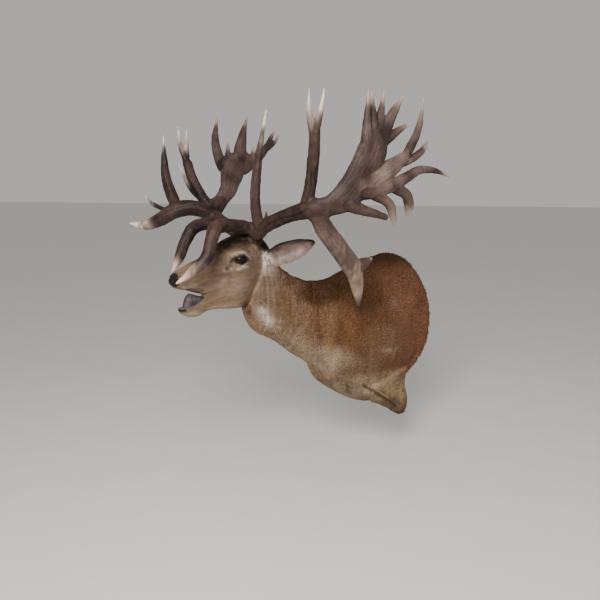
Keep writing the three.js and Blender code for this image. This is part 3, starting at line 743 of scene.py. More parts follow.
# %% Ground colours and patches
# where, centre, radii, colour, strength; body and head patches are on both sides, left ones on the left alone
PATCHES = [
    ("body", (30, 0, 400), (200, 150, 82), (0.088, 0.038, 0.017), 0.8),        # withers
    ("body", (-150, 150, 100), (105, 200, 330), (0.215, 0.090, 0.044), 0.5),   # redder towards the wall
    ("body", (350, 130, 60), (70, 90, 100), (0.225, 0.105, 0.042), 0.6),       # rufous before the shoulder
    ("body", (438, 120, 110), (34, 90, 165), (0.330, 0.194, 0.100), 0.6),      # golden band
    ("body", (392, 120, 40), (26, 90, 95), (0.105, 0.048, 0.020), 0.45),       # dark band behind it
    ("body", (440, 70, 245), (160, 75, 52), (0.078, 0.035, 0.015), 0.85),      # dip of the neck
    ("body", (640, 0, 420), (150, 60, 60), (0.080, 0.034, 0.014), 0.8),        # mane line
    ("body", (265, 150, 228), (135, 90, 78), (0.078, 0.032, 0.014), 0.55),      # dark middle of the shoulder
    ("body", (175, 150, 15), (125, 90, 80), (0.255, 0.140, 0.082), 0.65),        # muscle under it
    ("body", (460, 120, -55), (150, 120, 85), (0.450, 0.340, 0.235), 0.8),    # front of the brisket
    ("body", (600, 90, 10), (90, 90, 70), (0.420, 0.320, 0.220), 0.6),         # underside of the neck
    ("body", (285, 140, -95), (110, 90, 62), (0.270, 0.165, 0.100), 0.6),
    ("body", (610, 80, 325), (110, 60, 48), (0.085, 0.040, 0.019), 0.6),       # nape
    ("body", (-205, 100, 60), (55, 200, 330), (0.140, 0.060, 0.030), 0.6),     # edge at the wall
    ("body", (270, 110, -205), (230, 130, 92), (0.420, 0.305, 0.195), 0.95),   # brisket
    ("body", (232, 135, -196), (60, 60, 26), (0.520, 0.410, 0.290), 0.7),      # armpit
    ("body", (90, 130, -235), (125, 90, 92), (0.360, 0.250, 0.145), 0.95),     # leg
    ("body", (95, 150, -290), (46, 60, 40), (0.190, 0.124, 0.066), 0.5),
    ("body", (30, 110, -356), (80, 90, 36), (0.145, 0.090, 0.048), 0.85),      # leg's end
    ("left", (98, 165, 179), (24, 40, 32), (0.270, 0.205, 0.160), 0.45),       # a worn, dusty spot
    ("head", (-76, 66, -128), (38, 60, 72), (0.285, 0.195, 0.135), 0.7),       # greyer skin behind the jaw
    ("head", (-112, 52, -255), (20, 46, 76), (0.420, 0.330, 0.240), 0.6),      # cream before the seam
    ("head", (-8, 30, -200), (24, 44, 44), (0.095, 0.052, 0.028), 0.85),         # throat's edge under the jaw: its own brown, deepened by painted shadow of the jaw
    ("head", (-20, 60, -152), (26, 50, 24), (0.200, 0.118, 0.068), 0.7),       # behind the jaw
    ("head", (60, 60, -92), (82, 34, 44), (0.345, 0.248, 0.172), 0.8),         # cheek
    ("head", (146, 46, -84), (34, 30, 22), (0.360, 0.265, 0.200), 0.7),
    ("head", (38, 60, -72), (34, 30, 12), (0.240, 0.180, 0.145), 0.5),
    ("head", (-36, 68, -66), (30, 30, 44), (0.255, 0.172, 0.115), 0.7),
    ("head", (165, 42, -44), (50, 26, 24), (0.400, 0.255, 0.172), 0.8),        # side of the muzzle
    ("head", (228, 30, -48), (34, 30, 10), (0.440, 0.350, 0.265), 0.8),        # upper lip
    ("head", (-4, 0, 92), (112, 106, 55), (0.022, 0.012, 0.008), 0.98),       # crown: its own dark brown, deepened by painted shade under the antlers
    ("head", (-124, 50, 24), (28, 44, 26), (0.028, 0.015, 0.009), 0.95),       # painted shadow on the hair behind the antler's foot
    # forehead between the antlers: its own dark brown, deepened by painted shade under the antlers
    ("head", (75, 0, 60), (76, 74, 33), (0.026, 0.014, 0.009), 0.97),
    ("head", (112, 30, 20), (40, 28, 18), (0.095, 0.056, 0.036), 0.7),         # slope of the forehead: its own brown, partly painted shadow of the brow tine
    ("head", (140, 0, 36), (110, 40, 20), (0.066, 0.036, 0.024), 0.9),         # bridge of the nose: its own brown, partly painted shadow of the brow tine
    ("head", (-64, 66, 16), (24, 24, 24), (0.350, 0.240, 0.158), 0.85),         # behind the eye
    ("head", (-60, 50, 28), (20, 26, 15), (0.360, 0.250, 0.170), 0.7),
    ("head", (-36, 68, -22), (16, 24, 16), (0.175, 0.100, 0.058), 0.6),
    ("head", (66, 58, -24), (20, 20, 10), (0.420, 0.300, 0.235), 0.7),         # before the pit of the eye
    ("head", (14, 72, -25), (27, 16, 7), (0.560, 0.450, 0.360), 0.8),          # under the eye
    ("head", (228, 10, -158), (46, 40, 20), (0.345, 0.270, 0.190), 0.9),       # chin
    ("head", (130, 20, -176), (120, 44, 24), (0.400, 0.310, 0.225), 0.85),     # under the jaw
    ("head", (199, 30, -122), (15, 14, 11), (0.185, 0.108, 0.078), 0.9),        # spot by the lower lip
    ("head", (190, 38, -97), (12, 16, 8), (0.045, 0.028, 0.020), 0.85),        # corner of the mouth
    ("head", (250, 8, 14), (16, 26, 12), (0.030, 0.020, 0.016), 0.9),          # over the nose
    ("head", (-116, 66, -40), (44, 34, 48), (0.700, 0.600, 0.510), 0.5),
    ("head", (-112, 66, -32), (25, 30, 32), (0.900, 0.820, 0.740), 0.8)]      # white hair at the ear's foot
# frame, start, end (x and z), width, colour, strength: painted shade in creases, scuffs and lines
LINES = [
    ("body", (250, -172), (80, -300), 7, (0.060, 0.036, 0.020), 0.9),          # painted shade in the crease between leg and brisket
    # painted shade in a second crease by the brisket
    ("body", (330, -150), (292, -214), 6, (0.090, 0.055, 0.032), 0.6),
    ("body", (692, 372), (684, 110), 4, (0.480, 0.380, 0.280), 0.4),        # where neck and head were sewn
    ("left", (186, -20), (128, -28), 4, (0.560, 0.450, 0.370), 0.5),           # scuffs over the elbow
    ("left", (118, -38), (88, -22), 4, (0.560, 0.450, 0.370), 0.5),
    ("left", (150, -36), (104, -48), 3, (0.450, 0.340, 0.260), 0.4),
    ("head", (-52, -206), (-76, -260), 16, (0.700, 0.610, 0.520), 0.85),       # white throat
    ("head", (-62, -240), (-84, -286), 12, (0.600, 0.500, 0.400), 0.5),
    ("head", (158, -58), (66, -34), 12, (0.150, 0.112, 0.098), 0.6)]           # dusky smear across the cheek
RUFOUS, SHOULDER, NECK = (0.215, 0.100, 0.054), (0.180, 0.084, 0.042), (0.252, 0.145, 0.083)
TOPLINE, TAN, EYE_RING = (0.066, 0.028, 0.012), (0.255, 0.166, 0.106), (0.400, 0.300, 0.225)
UNDERLINE = (0.350, 0.240, 0.150)
EAR_HOLLOW, EAR_BACK, EAR_RIM = (0.265, 0.190, 0.165), (0.150, 0.090, 0.058), (0.020, 0.014, 0.012)


def over(ground, colour, share):
    share = np.asarray(share)[:, None]
    return ground * (1 - share) + np.array(colour) * share


def soft_patch(q, centre, radii):
    """1 in the middle of an ellipsoid, 0.5 near its surface and 0 well outside."""
    r = np.linalg.norm((q - np.array(centre, float)) / np.array(radii, float), axis=1)
    return 1 - ease(r, 0.62, 1.3)


def coat_colour(body, head, in_head, in_ear, normals):
    places_of = {"left": body, "body": np.abs(body * [0, 1, 0]) + body * [1, 0, 1],
                 "head": np.abs(head * [0, 1, 0]) + head * [1, 0, 1]}
    drift = {"left": 5, "body": 16, "head": 6}
    up = normals[:, 2]
    colour = over(np.tile(RUFOUS, (len(body), 1)), SHOULDER, ease(body[:, 0], 60, 170))
    colour = over(colour, NECK, ease(body[:, 0], 480, 560))
    colour = over(colour, UNDERLINE, 0.85 * ease(-up, -0.15, 0.6) * ease(body[:, 0], 330, 470))
    colour = over(colour, TOPLINE, 0.7 * ease(up, 0.45, 0.95))
    colour = over(colour, TAN, in_head * (1 - ease(-head[:, 2], 110, 200)))
    wobble = np.stack([cloud(body, 46, seed) + 0.5 * cloud(body, 12, seed + 30) for seed in (61, 62, 63)], 1)
    for where, centre, radii, paint, strength in PATCHES:
        share = soft_patch(places_of[where] + wobble * drift[where], centre, radii) * (1 - in_ear)
        if where != "head":
            share = share * (1 - in_head)
        elif centre[2] > -130:
            share = share * in_head
        colour = over(colour, paint, strength * share)
    flat = {where: (q + wobble * 5) * [1, 0, 1] for where, q in places_of.items()}
    for where, start, end, breadth, paint, strength in LINES:
        share = near_line(flat[where], (start[0], 0, start[1]), (end[0], 0, end[1]), breadth)
        share = share * (np.abs(body[:, 1]) > 34) * ((body[:, 1] > 0) | (where != "left")) * (1 - in_ear)
        colour = over(colour, paint, strength * share)
    low = ease(-body[:, 2], 120, 220) * ease(520 - body[:, 0], 0, 120) * (1 - in_head)
    dirt = ease(cloud(body, 30, 64) + 0.5 * cloud(body, 11, 65), 0.0, 0.8)
    colour = over(colour, (0.135, 0.085, 0.048), 0.5 * low * dirt)
    # painted shade: a dark ring round each antler's foot, where the antler shades the hair
    for side in (1, -1):
        top, along = pedicle_axis(side)
        foot = np.exp(-(np.linalg.norm(body - top + along * 14, axis=1) / 44) ** 4)
        colour = over(colour, (0.028, 0.016, 0.010), 0.92 * foot)
    mottle = ease(cloud(head, 17, 66) + 0.6 * cloud(head, 8, 67), 0.1, 0.7)
    colour = over(colour, (0.215, 0.165, 0.135), 0.34 * mottle * in_head * ease(head[:, 2], -170, -120))
    r, _, w = almond_of(head)
    by_eye = (in_head > 0.5) & (np.abs(head[:, 1]) > 40) & (head[:, 0] < 90)
    ring = np.exp(-((r - 2.05) / 0.5) ** 2) * by_eye * (0.3 + 0.7 * ease(w, 0.0, 1.2))
    colour = over(colour, EYE_RING, 0.85 * ring)
    colour = over(colour, (0.030, 0.017, 0.013), 0.92 * (1 - ease(r, 1.3, 1.55)) * by_eye)
    slit = near_line(head, (40, 68, 8), (68, 54, -19), 4.6) * (in_head > 0.5) * (np.abs(head[:, 1]) > 40)
    colour = over(colour, (0.028, 0.017, 0.012), 0.9 * np.clip(slit * 1.6, 0, 1))
    for side in (1, -1):
        along, across, _ = ear_place(body, side)
        leaf = in_ear * (side * body[:, 1] > 60)
        hollow = ear_frame(side)[2]
        inside = ease(normals @ hollow, -0.2, 0.35)
        shown = EAR_BACK + (np.array(EAR_HOLLOW) - EAR_BACK) * inside[:, None]
        pale = inside * np.exp(-((np.abs(across) - 0.62) / 0.2) ** 2) * (1 - ease(along, 0.6, 0.9))
        shown = over(shown, (0.52, 0.43, 0.36), 0.6 * pale)
        shown = over(shown, (0.50, 0.42, 0.35), 0.7 * (1 - ease(along, 0.16, 0.34)) * inside)
        vein = ease(cloud(body, 9, 68), 0.0, 0.7) * inside
        shown = over(shown, (0.17, 0.12, 0.11), 0.4 * vein)
        # painted shade: the hollow darkens towards its upper edge, under the rim
        shown = shown * (1 - 0.55 * ease(-across * side, -0.1, 0.75) * inside)[:, None]
        shown = over(shown, EAR_RIM, 0.92 * np.maximum(ease(-across * side, 0.78, 0.95), ease(along, 0.84, 0.96)))
        colour = colour * (1 - leaf[:, None]) + shown * leaf[:, None]
    streak = cloud(body * [0.8, 1, 0.2], 7, 71) * 0.17 + cloud(body * [1, 1, 0.3], 24, 72) * 0.17
    streak = streak + cloud(body, 90, 73) * 0.09
    streak = streak * (1 - 0.6 * in_head) + cloud(head * [0.22, 1, 1], 6, 74) * 0.24 * in_head
    return np.clip(colour * (1 + streak[:, None]), 0.004, 1)


# %% [markdown]
# ## Lie, length and bare skin
# Hair lies back and down over the body, back from the nose, outward round the eyes and towards the tip on the
# ears. Close to the wall it is combed outward along the wall, so that no hair goes into it. Nose, lips, lid
# rims and the mouth's lining are bare.

# %% Hair direction and cover
def hair_lie(body, head, in_head, in_ear, normals, length):
    """Unit vectors in the body's frame."""
    lie = np.tile([-0.60, 0.0, -0.80], (len(body), 1))
    lie = over(lie, (-1.0, 0, -0.12), ease(normals[:, 2], 0.45, 0.9))
    lie = over(lie, (-0.45, 0.1, -0.9), ease(-body[:, 2], 150, 240))
    face = np.tile([-1.0, 0.0, -0.10], (len(body), 1))
    face[:, 2] -= 0.75 * ease(-head[:, 2], 10, 90) * ease(120 - head[:, 0], 0, 110)
    face[:, 1] = 0.25 * np.sign(head[:, 1]) * ease(head[:, 0], 40, 160)
    r, u, _ = almond_of(head)
    from_eye = np.stack([head[:, 0] - EYE_CENTRE[0], 0 * u, head[:, 2] - EYE_CENTRE[2]], 1)
    face = over_rows(face, unit(from_eye) * 1.2, np.exp(-(r / 2.2) ** 2) * (np.abs(head[:, 1]) > 40))
    lie = over_rows(lie, face @ HEAD_TURN.T, in_head)
    for side in (1, -1):
        _, way, hollow, width = ear_frame(side)
        across = ear_place(body, side)[1]
        inside = ease(normals @ hollow, -0.2, 0.35)[:, None]
        leaf = in_ear * (side * body[:, 1] > 60)
        spread = width * (np.clip(across, -1, 1) * 0.5)[:, None]
        lie = over_rows(lie, way + spread + hollow * 0.55 * inside, leaf)
    sway = np.stack([cloud(body, 38, seed) for seed in (81, 82, 83)], 1)
    lie = unit(lie + 0.09 * sway)
    lie = unit(lie - normals * np.einsum("ij,ij->i", lie, normals)[:, None])
    at_wall = lie @ BODY_TURN.T
    room = -body_to_wall(body)[:, 1] - 4.0 - 0.3 * length * np.maximum((normals @ BODY_TURN.T)[:, 1], 0)
    most = room / np.maximum(length * 1.35, 1)
    near = ease(most, 1.1, -0.1)
    at_wall[:, 1] = np.minimum(at_wall[:, 1], np.clip(most - 0.25, -1, 1))
    outward = normals @ BODY_TURN.T * [1, 0, 1] + [0, 0, -0.35]
    at_wall = at_wall + 0.55 * outward * ease(1.0 - most, 0, 0.9)[:, None]
    return unit(at_wall) @ BODY_TURN, near


def over_rows(ground, other, share):
    share = np.asarray(share)[:, None]
    return ground * (1 - share) + other * share


def bare_skin(head, in_head, normals):
    """How bare each point is, with the colour of what shows there."""
    across, x, z = np.abs(head[:, 1]), head[:, 0], head[:, 2]
    facing = normals @ HEAD_TURN
    nose = ease(x + 0.30 * z, 241, 249) * ease(z, -62, -52) * (in_head > 0.5)
    roof = ease(-facing[:, 2], 0.35, 0.75) * ease(x, 158, 172) * ease(234 - x, 0, 8) * ease(z, -108, -98)
    roof = roof * ease(31 - across, 0, 8)
    floor_of_mouth = ease(facing[:, 2], 0.15, 0.5) * ease(x, 160, 172) * ease(-z, 96, 104) * ease(27 - across, 0, 7)
    lower_lip = ease(x, 226, 238) * ease(z, -146, -134) * ease(-z, 100, 108)
    r = almond_of(head)[0]
    lids = (1 - ease(r, 1.16, 1.30)) * (across > 40) * (in_head > 0.5) * (x < 90)
    pit = near_line(head, (40, 68, 8), (62, 56, -14), 2.6) * (across > 40)
    upper_lip = near_line(head, (250, 22, -52), (186, 38, -90), 4.6) * (in_head > 0.5)
    # the nose's own near-black is darkened further as painted shadow of the brow tine
    cover = [(nose, (0.009, 0.008, 0.007)), (roof, (0.090, 0.060, 0.058)), (floor_of_mouth, (0.10, 0.072, 0.070)),
             (lower_lip, (0.014, 0.011, 0.010)), (lids, (0.014, 0.009, 0.008)), (upper_lip, (0.022, 0.015, 0.013)),
             (np.clip(pit, 0, 1), (0.02, 0.013, 0.01))]
    bare, shown = np.zeros(len(x)), np.zeros((len(x), 3))
    for share, paint in cover:
        shown = over(shown, paint, np.where(share > bare, 1, 0))
        bare = np.maximum(bare, share)
    return bare, shown


# %% [markdown]
# ## What the skin carries
# All of it is stored on the skin's points as attributes: colour, bareness, direction and length of the hair, how
# many tufts a square metre holds, and a flat map of the skin for baking. The tufts inherit these where they grow.

# %% Attributes on the skin
TUFT_WIDTH = 2.2       # mm, on the body
LAYERS = 3.7           # how many tufts deep the coat lies on the body
SQUARE_METRE = 1e6     # mm2
points, normals = points_of(skin), normals_of(skin) @ BODY_TURN
body, head, in_head, in_ear = places(points)
length = hair_length(body, head, in_head, in_ear)
bare, bare_colour = bare_skin(head, in_head, normals)
at_back = face_normals(skin)[:, 1] > 0.8
corner_of = triangles_of(skin)
in_recess = (points[:, 1] > -22) & (np.linalg.norm((points - [BODY_ORIGIN[0], 0, BOARD["middle"]])
             / [BOARD["half_width"] + 4, 1e9, BOARD["half_height"] + 4], axis=1) < 1)
backing = (at_back & (points[corner_of, 1].min(1) > -22)) | in_recess[corner_of].all(1)
tint = coat_colour(body, head, in_head, in_ear, normals)
tint = over_rows(tint, bare_colour, bare)
# painted light and shade: the coat is darker in the hollows of the folds and lighter on their crests
tint = tint * np.clip(1 + 0.085 * folds, 0.7, 1.25)[:, None]
for s in (1, -1):
    across = ear_place(body, s)[1]
    length = length * (1 - 0.45 * ease(np.abs(across), 0.6, 1.0) * in_ear * (s * body[:, 1] > 60))
lie, near_wall = hair_lie(body, head, in_head, in_ear, normals, length)
length = length * (1 - 0.4 * near_wall * ease((normals @ BODY_TURN.T)[:, 1], 0.1, 0.5))

width = TUFT_WIDTH - 0.6 * np.maximum(in_head, in_ear) - 0.25 * ease(head[:, 0], 100, 200) * in_head
layers = LAYERS - in_head * (1.3 + 0.5 * ease(head[:, 0], 60, 160)) - 1.5 * in_ear
full = layers * SQUARE_METRE / (0.5 * length * width) * (1 + 0.35 * near_wall) * (1 - ease(bare, 0.25, 0.6))

side = body[:, 1] > 0
ears = in_ear > 0.5
on_head = (in_head > 0.5) & ~ears
on_neck = (body[:, 0] > 395) & ~on_head & ~ears
muzzle = on_head & (head[:, 0] > 62)
flank = body[:, 0] < 130
zone = np.select([ears, muzzle & side, muzzle, on_head & side, on_head, on_neck & side, on_neck, flank & side, flank,
                  side], [0, 1, 2, 3, 4, 5, 6, 7, 8, 9], 10)
round_body = np.arctan2(np.abs(body[:, 1]), body[:, 2] - np.interp(body[:, 0], [0, 400, 700], [60, 90, 270]))
round_head = np.arctan2(np.abs(head[:, 1]), head[:, 2] + 60)
unwrap = np.where(on_head[:, None], np.stack([head[:, 0] / 400, round_head / np.pi], 1),
                  np.stack([body[:, 0] / 900, round_body / np.pi], 1))
for s in (1, -1):
    along, across, _ = ear_place(body, s)
    hollow = ear_frame(s)[2]
    inner = (normals @ hollow > 0).astype(float)
    leaf = ears & (s * body[:, 1] > 60)
    sheet = np.stack([along, 0.25 * np.clip(across * 0.45 + 0.5, 0, 1) + 0.25 * inner + 0.5 * (s > 0)], 1)
    unwrap = np.where(leaf[:, None], sheet, unwrap)

attribute(skin, "tint", np.concatenate([tint, np.ones((len(tint), 1))], 1))
attribute(skin, "bare", bare)
attribute(skin, "lie", lie @ BODY_TURN.T)
attribute(skin, "hair", np.stack([length, width, 0 * width], 1) * MM)
attribute(skin, "fur", full)
attribute(skin, "zone", np.where(backing, -1, zone[corner_of[:, 0]]), "FACE")
attribute(skin, "unwrap", np.concatenate([unwrap, 0 * unwrap[:, :1]], 1))
print("tufts to a square metre, face and body:", int(full.max()), int(np.median(full)))

# %% [markdown]
# ## One tuft
# A tuft is a lock of hairs that lies along the skin: it starts as a point under the surface, is broadest in the
# middle and ends in a point. Six triangles make it a closed form. Along it, `tip` runs from 0 to 1, and `patch`
# gives each corner a place in the small square that the tuft fills in the baked picture.

# %% Tuft mesh
corners = np.array([[-0.06, 0, -0.10], [0.42, 0.5, 0.10], [0.42, -0.5, 0.10], [0.46, 0, 0.26], [1, 0, 0.21 / 0.9]])
tuft_faces = [[0, 1, 2], [0, 3, 1], [0, 2, 3], [4, 2, 1], [4, 1, 3], [4, 3, 2]]
tuft = new_object("tuft", corners / MM, np.array(tuft_faces))
attribute(tuft, "tip", corners[:, 0].clip(0, 1))
attribute(tuft, "patch", np.stack([corners[:, 0].clip(0, 1), corners[:, 1] + 0.5, 0 * corners[:, 0]], 1))
smooth_shading(tuft)
middle = corners.mean(0)
outward = [np.dot(np.cross(corners[b] - corners[a], corners[c] - corners[a]), corners[[a, b, c]].mean(0) - middle)
           for a, b, c in (list(p.vertices) for p in tuft.data.polygons)]
print("tuft faces that point outward:", sum(o > 0 for o in outward), "of", len(outward))

# %% [markdown]
# ## Geometry Nodes for the coat
# One tree makes every part of the coat. It scatters points over one zone of the skin, lays each tuft along the
# stored direction with a little disorder, scales it by the stored length and width, and turns the instances into
# a real mesh. It then writes the UV map for baking and sets the material.

# %% Coat tree
DISORDER = 0.08                                              # how far a tuft strays from the lie
LONG, WIDE, LIFT = (0.72, 1.22), (0.7, 1.3), (0.5, 0.72)     # shares of the stored length and width
MAP_FILL, MAP_EDGE, TUFT_SQUARE = 0.955, (0.02, 0.02, 0), 0.003


class Nodes:
    """Adds Geometry Nodes: the same idea as Wire, with the links given by input."""
    def __init__(self, name):
        self.tree = bpy.data.node_groups.new(name, "GeometryNodeTree")
        self.inputs = {}

    def input(self, name, kind, value=None):
        socket = self.tree.interface.new_socket(name, in_out="INPUT", socket_type="NodeSocket" + kind)
        if value is not None:
            socket.default_value = value
        self.inputs[name] = socket.identifier

    def add(self, kind, settings=(), inputs=(), output=0):
        node = self.tree.nodes.new(kind)
        for key, value in dict(settings).items():
            setattr(node, key, value)
        for key, value in dict(inputs).items():
            if isinstance(value, bpy.types.NodeSocket):
                self.tree.links.new(value, node.inputs[key])
            else:
                node.inputs[key].default_value = value
        return node.outputs[output] if node.outputs else node

    def named(self, name, kind="FLOAT"):
        return self.add("GeometryNodeInputNamedAttribute", {"data_type": kind}, {"Name": name})

    def vector(self, operation, a, b):
        key = 3 if operation == "SCALE" else 1
        return self.add("ShaderNodeVectorMath", {"operation": operation}, {0: a, key: b})

    def random(self, low, high, seed, kind="FLOAT"):
        node = self.add("FunctionNodeRandomValue", {"data_type": kind}, {}).node
        first = 0 if kind == "FLOAT_VECTOR" else 2
        node.inputs[first].default_value, node.inputs[first + 1].default_value = low, high
        node.inputs["Seed"].default_value = seed
        return node.outputs[0 if kind == "FLOAT_VECTOR" else 1]


def coat_tree():
    g = Nodes("coat_tufts")
    for name, kind, value in (("Skin", "Geometry", None), ("Tuft", "Object", None), ("Zone", "Float", 0.0),
                              ("Seed", "Int", 1), ("Map low", "Vector", (0, 0, 0)), ("Map size", "Vector", (1, 1, 1)),
                              ("Material", "Material", None)):
        g.input(name, kind, value)
    g.tree.interface.new_socket("Coat", in_out="OUTPUT", socket_type="NodeSocketGeometry")
    start = g.add("NodeGroupInput").node.outputs
    in_zone = g.add("FunctionNodeCompare", {"data_type": "FLOAT", "operation": "EQUAL"},
                    {"A": g.named("zone"), "B": start["Zone"], "Epsilon": 0.4})
    scatter = g.add("GeometryNodeDistributePointsOnFaces", {"distribute_method": "RANDOM"},
                    {"Mesh": start["Skin"], "Selection": in_zone, "Density": g.named("fur"),
                     "Seed": start["Seed"]}).node
    disorder = g.random((-DISORDER,) * 3, (DISORDER,) * 3, 3, "FLOAT_VECTOR")
    lie = g.vector("ADD", g.named("lie", "FLOAT_VECTOR"), disorder)
    turned_to = g.add("FunctionNodeAlignRotationToVector", {"axis": "X"}, {"Vector": lie})
    turned_to = g.add("FunctionNodeAlignRotationToVector", {"axis": "Z", "pivot_axis": "X"},
                      {"Rotation": turned_to, "Vector": scatter.outputs["Normal"]})
    part = g.add("ShaderNodeSeparateXYZ", {}, {0: g.named("hair", "FLOAT_VECTOR")}).node
    long = g.add("ShaderNodeMath", {"operation": "MULTIPLY"}, {0: part.outputs[0], 1: g.random(*LONG, 5)})
    wide = g.add("ShaderNodeMath", {"operation": "MULTIPLY"}, {0: part.outputs[1], 1: g.random(*WIDE, 6)})
    lift = g.add("ShaderNodeMath", {"operation": "MULTIPLY"}, {0: part.outputs[0], 1: g.random(*LIFT, 7)})
    size = g.add("ShaderNodeCombineXYZ", {}, {0: long, 1: wide, 2: lift})
    one = g.add("GeometryNodeObjectInfo", {"transform_space": "ORIGINAL"}, {"Object": start["Tuft"]}, output=4)
    laid = g.add("GeometryNodeInstanceOnPoints", {}, {"Points": scatter.outputs["Points"], "Instance": one,
                                                     "Rotation": turned_to, "Scale": size})
    laid = g.add("GeometryNodeStoreNamedAttribute", {"data_type": "FLOAT", "domain": "INSTANCE"},
                 {"Geometry": laid, "Name": "shade", "Value": g.random(0.0, 1.0, 8)})
    real = g.add("GeometryNodeRealizeInstances", {}, {"Geometry": laid})
    place = g.vector("SUBTRACT", g.named("unwrap", "FLOAT_VECTOR"), start["Map low"])
    place = g.vector("DIVIDE", place, start["Map size"])
    place = g.vector("ADD", g.vector("SCALE", place, MAP_FILL), MAP_EDGE)
    place = g.vector("ADD", place, g.vector("SCALE", g.named("patch", "FLOAT_VECTOR"), TUFT_SQUARE))
    real = g.add("GeometryNodeStoreNamedAttribute", {"data_type": "FLOAT2", "domain": "CORNER"},
                 {"Geometry": real, "Name": "OFBake", "Value": place})
    for spent in ("lie", "hair", "fur", "zone", "unwrap", "patch", "bare"):
        real = g.add("GeometryNodeRemoveAttribute", {}, {"Geometry": real, "Name": spent})
    done = g.add("GeometryNodeSetMaterial", {}, {"Geometry": real, "Material": start["Material"]})
    g.add("NodeGroupOutput", {}, {"Coat": done})
    return g


# %% [markdown]
# ## Hair and skin finishes
# Each lock has its own shade, is darker at its root and catches light at its tip. The skin under it has the same
# colour, a little darker, with a fine nap. Bare skin, as on the nose, is pebbled and slightly moist.

# %% Hair and skin materials
def hair_inputs(w):
    shade, tip = w.stored("shade", 2), w.stored("tip", 2)
    light = (0.90 + 0.18 * shade) * (0.80 + 0.26 * tip.between(0.0, 0.9))
    light = light + 0.18 * shade.between(0.75, 1.0) * tip.between(0.5, 1.0)
    base = w.mix(1.0, w.stored("tint"), w.grey(light), "MULTIPLY")
    return {"Base Color": base, "Roughness": 0.52 + 0.16 * shade, "Specular IOR Level": 0.16}


def skin_inputs(w):
    bare, place = w.stored("bare", 2), w.place()
    nap = w.noise(place, 420, 3)
    mottle = w.noise(place, 38, 4)
    pebble = w.add("ShaderNodeTexVoronoi", {"feature": "F1"}, {"Vector": place, "Scale": 430.0})
    light = 0.78 + 0.34 * mottle
    base = w.mix(1.0, w.stored("tint"), w.grey(light), "MULTIPLY")
    height = nap * (1 - bare) + (1 - pebble) * bare * 1.2
    return {"Base Color": base, "Roughness": 0.76 - 0.30 * bare, "Specular IOR Level": 0.14,
            "Normal": w.bump(height, 0.0009, 0.6)}


def backing_inputs(w):
    place = w.place()
    grit, stain = w.noise(place, 300, 4), w.noise(place, 12, 5)
    base = w.mix(stain.between(0.35, 0.7), (0.55, 0.47, 0.36, 1), (0.66, 0.60, 0.49, 1))
    return {"Base Color": base, "Roughness": 0.85, "Normal": w.bump(grit + stain * 0.5, 0.0008, 0.6)}


hair_finish, skin_finish = material("stag_hair", hair_inputs), material("stag_skin", skin_inputs)
skin.data.materials.clear()
skin.data.materials.append(skin_finish)
skin.data.materials.append(material("form_backing", backing_inputs))
skin.data.polygons.foreach_set("material_index", backing.astype(np.int32))

# %% Grow the coat
COATS = ["coat_ears", "coat_muzzle_left", "coat_muzzle_right", "coat_face_left", "coat_face_right",
         "coat_neck_left", "coat_neck_right", "coat_back_left", "coat_back_right", "coat_shoulder_left",
         "coat_shoulder_right"]


def grow(tree, number, name):
    """One zone of the coat as a plain mesh."""
    bed = skin.copy()
    bpy.context.scene.collection.objects.link(bed)
    modifier = bed.modifiers.new("tufts", "NODES")
    modifier.node_group = tree.tree
    low, high = unwrap[zone == number].min(0), unwrap[zone == number].max(0)
    values = {"Tuft": tuft, "Zone": float(number), "Seed": 100 + number, "Map low": (*low, 0.0),
              "Map size": (*(high - low), 1.0), "Material": hair_finish}
    for key, value in values.items():
        modifier[tree.inputs[key]] = value
    graph = bpy.context.evaluated_depsgraph_get()
    mesh = bpy.data.meshes.new_from_object(bed.evaluated_get(graph))
    bpy.data.objects.remove(bed)
    mesh.name = name
    piece = bpy.data.objects.new(name, mesh)
    bpy.context.scene.collection.objects.link(piece)
    print(name, len(mesh.polygons), "faces, maps:", [layer.name for layer in mesh.uv_layers])
    return piece


tree = coat_tree()
coats = [grow(tree, number, name) for number, name in enumerate(COATS)]
bpy.data.objects.remove(tuft)
for spent in ("lie", "hair", "fur", "zone", "unwrap"):
    skin.data.attributes.remove(skin.data.attributes[spent])
print("coat faces in all:", sum(len(piece.data.polygons) for piece in coats))

# %% [markdown]
# ## Antlers
# An antler is bone: a beam that throws off tines and flattens into a palm. Each branch here is a path with a
# radius at each of its points, and palms are flatter than they are broad. The branches are skinned as tubes,
# melted into one surface by a voxel remesh, and then grooved along their length, as the blood vessels left them.

# %% Antler branches
UP = (0, 0, 1)
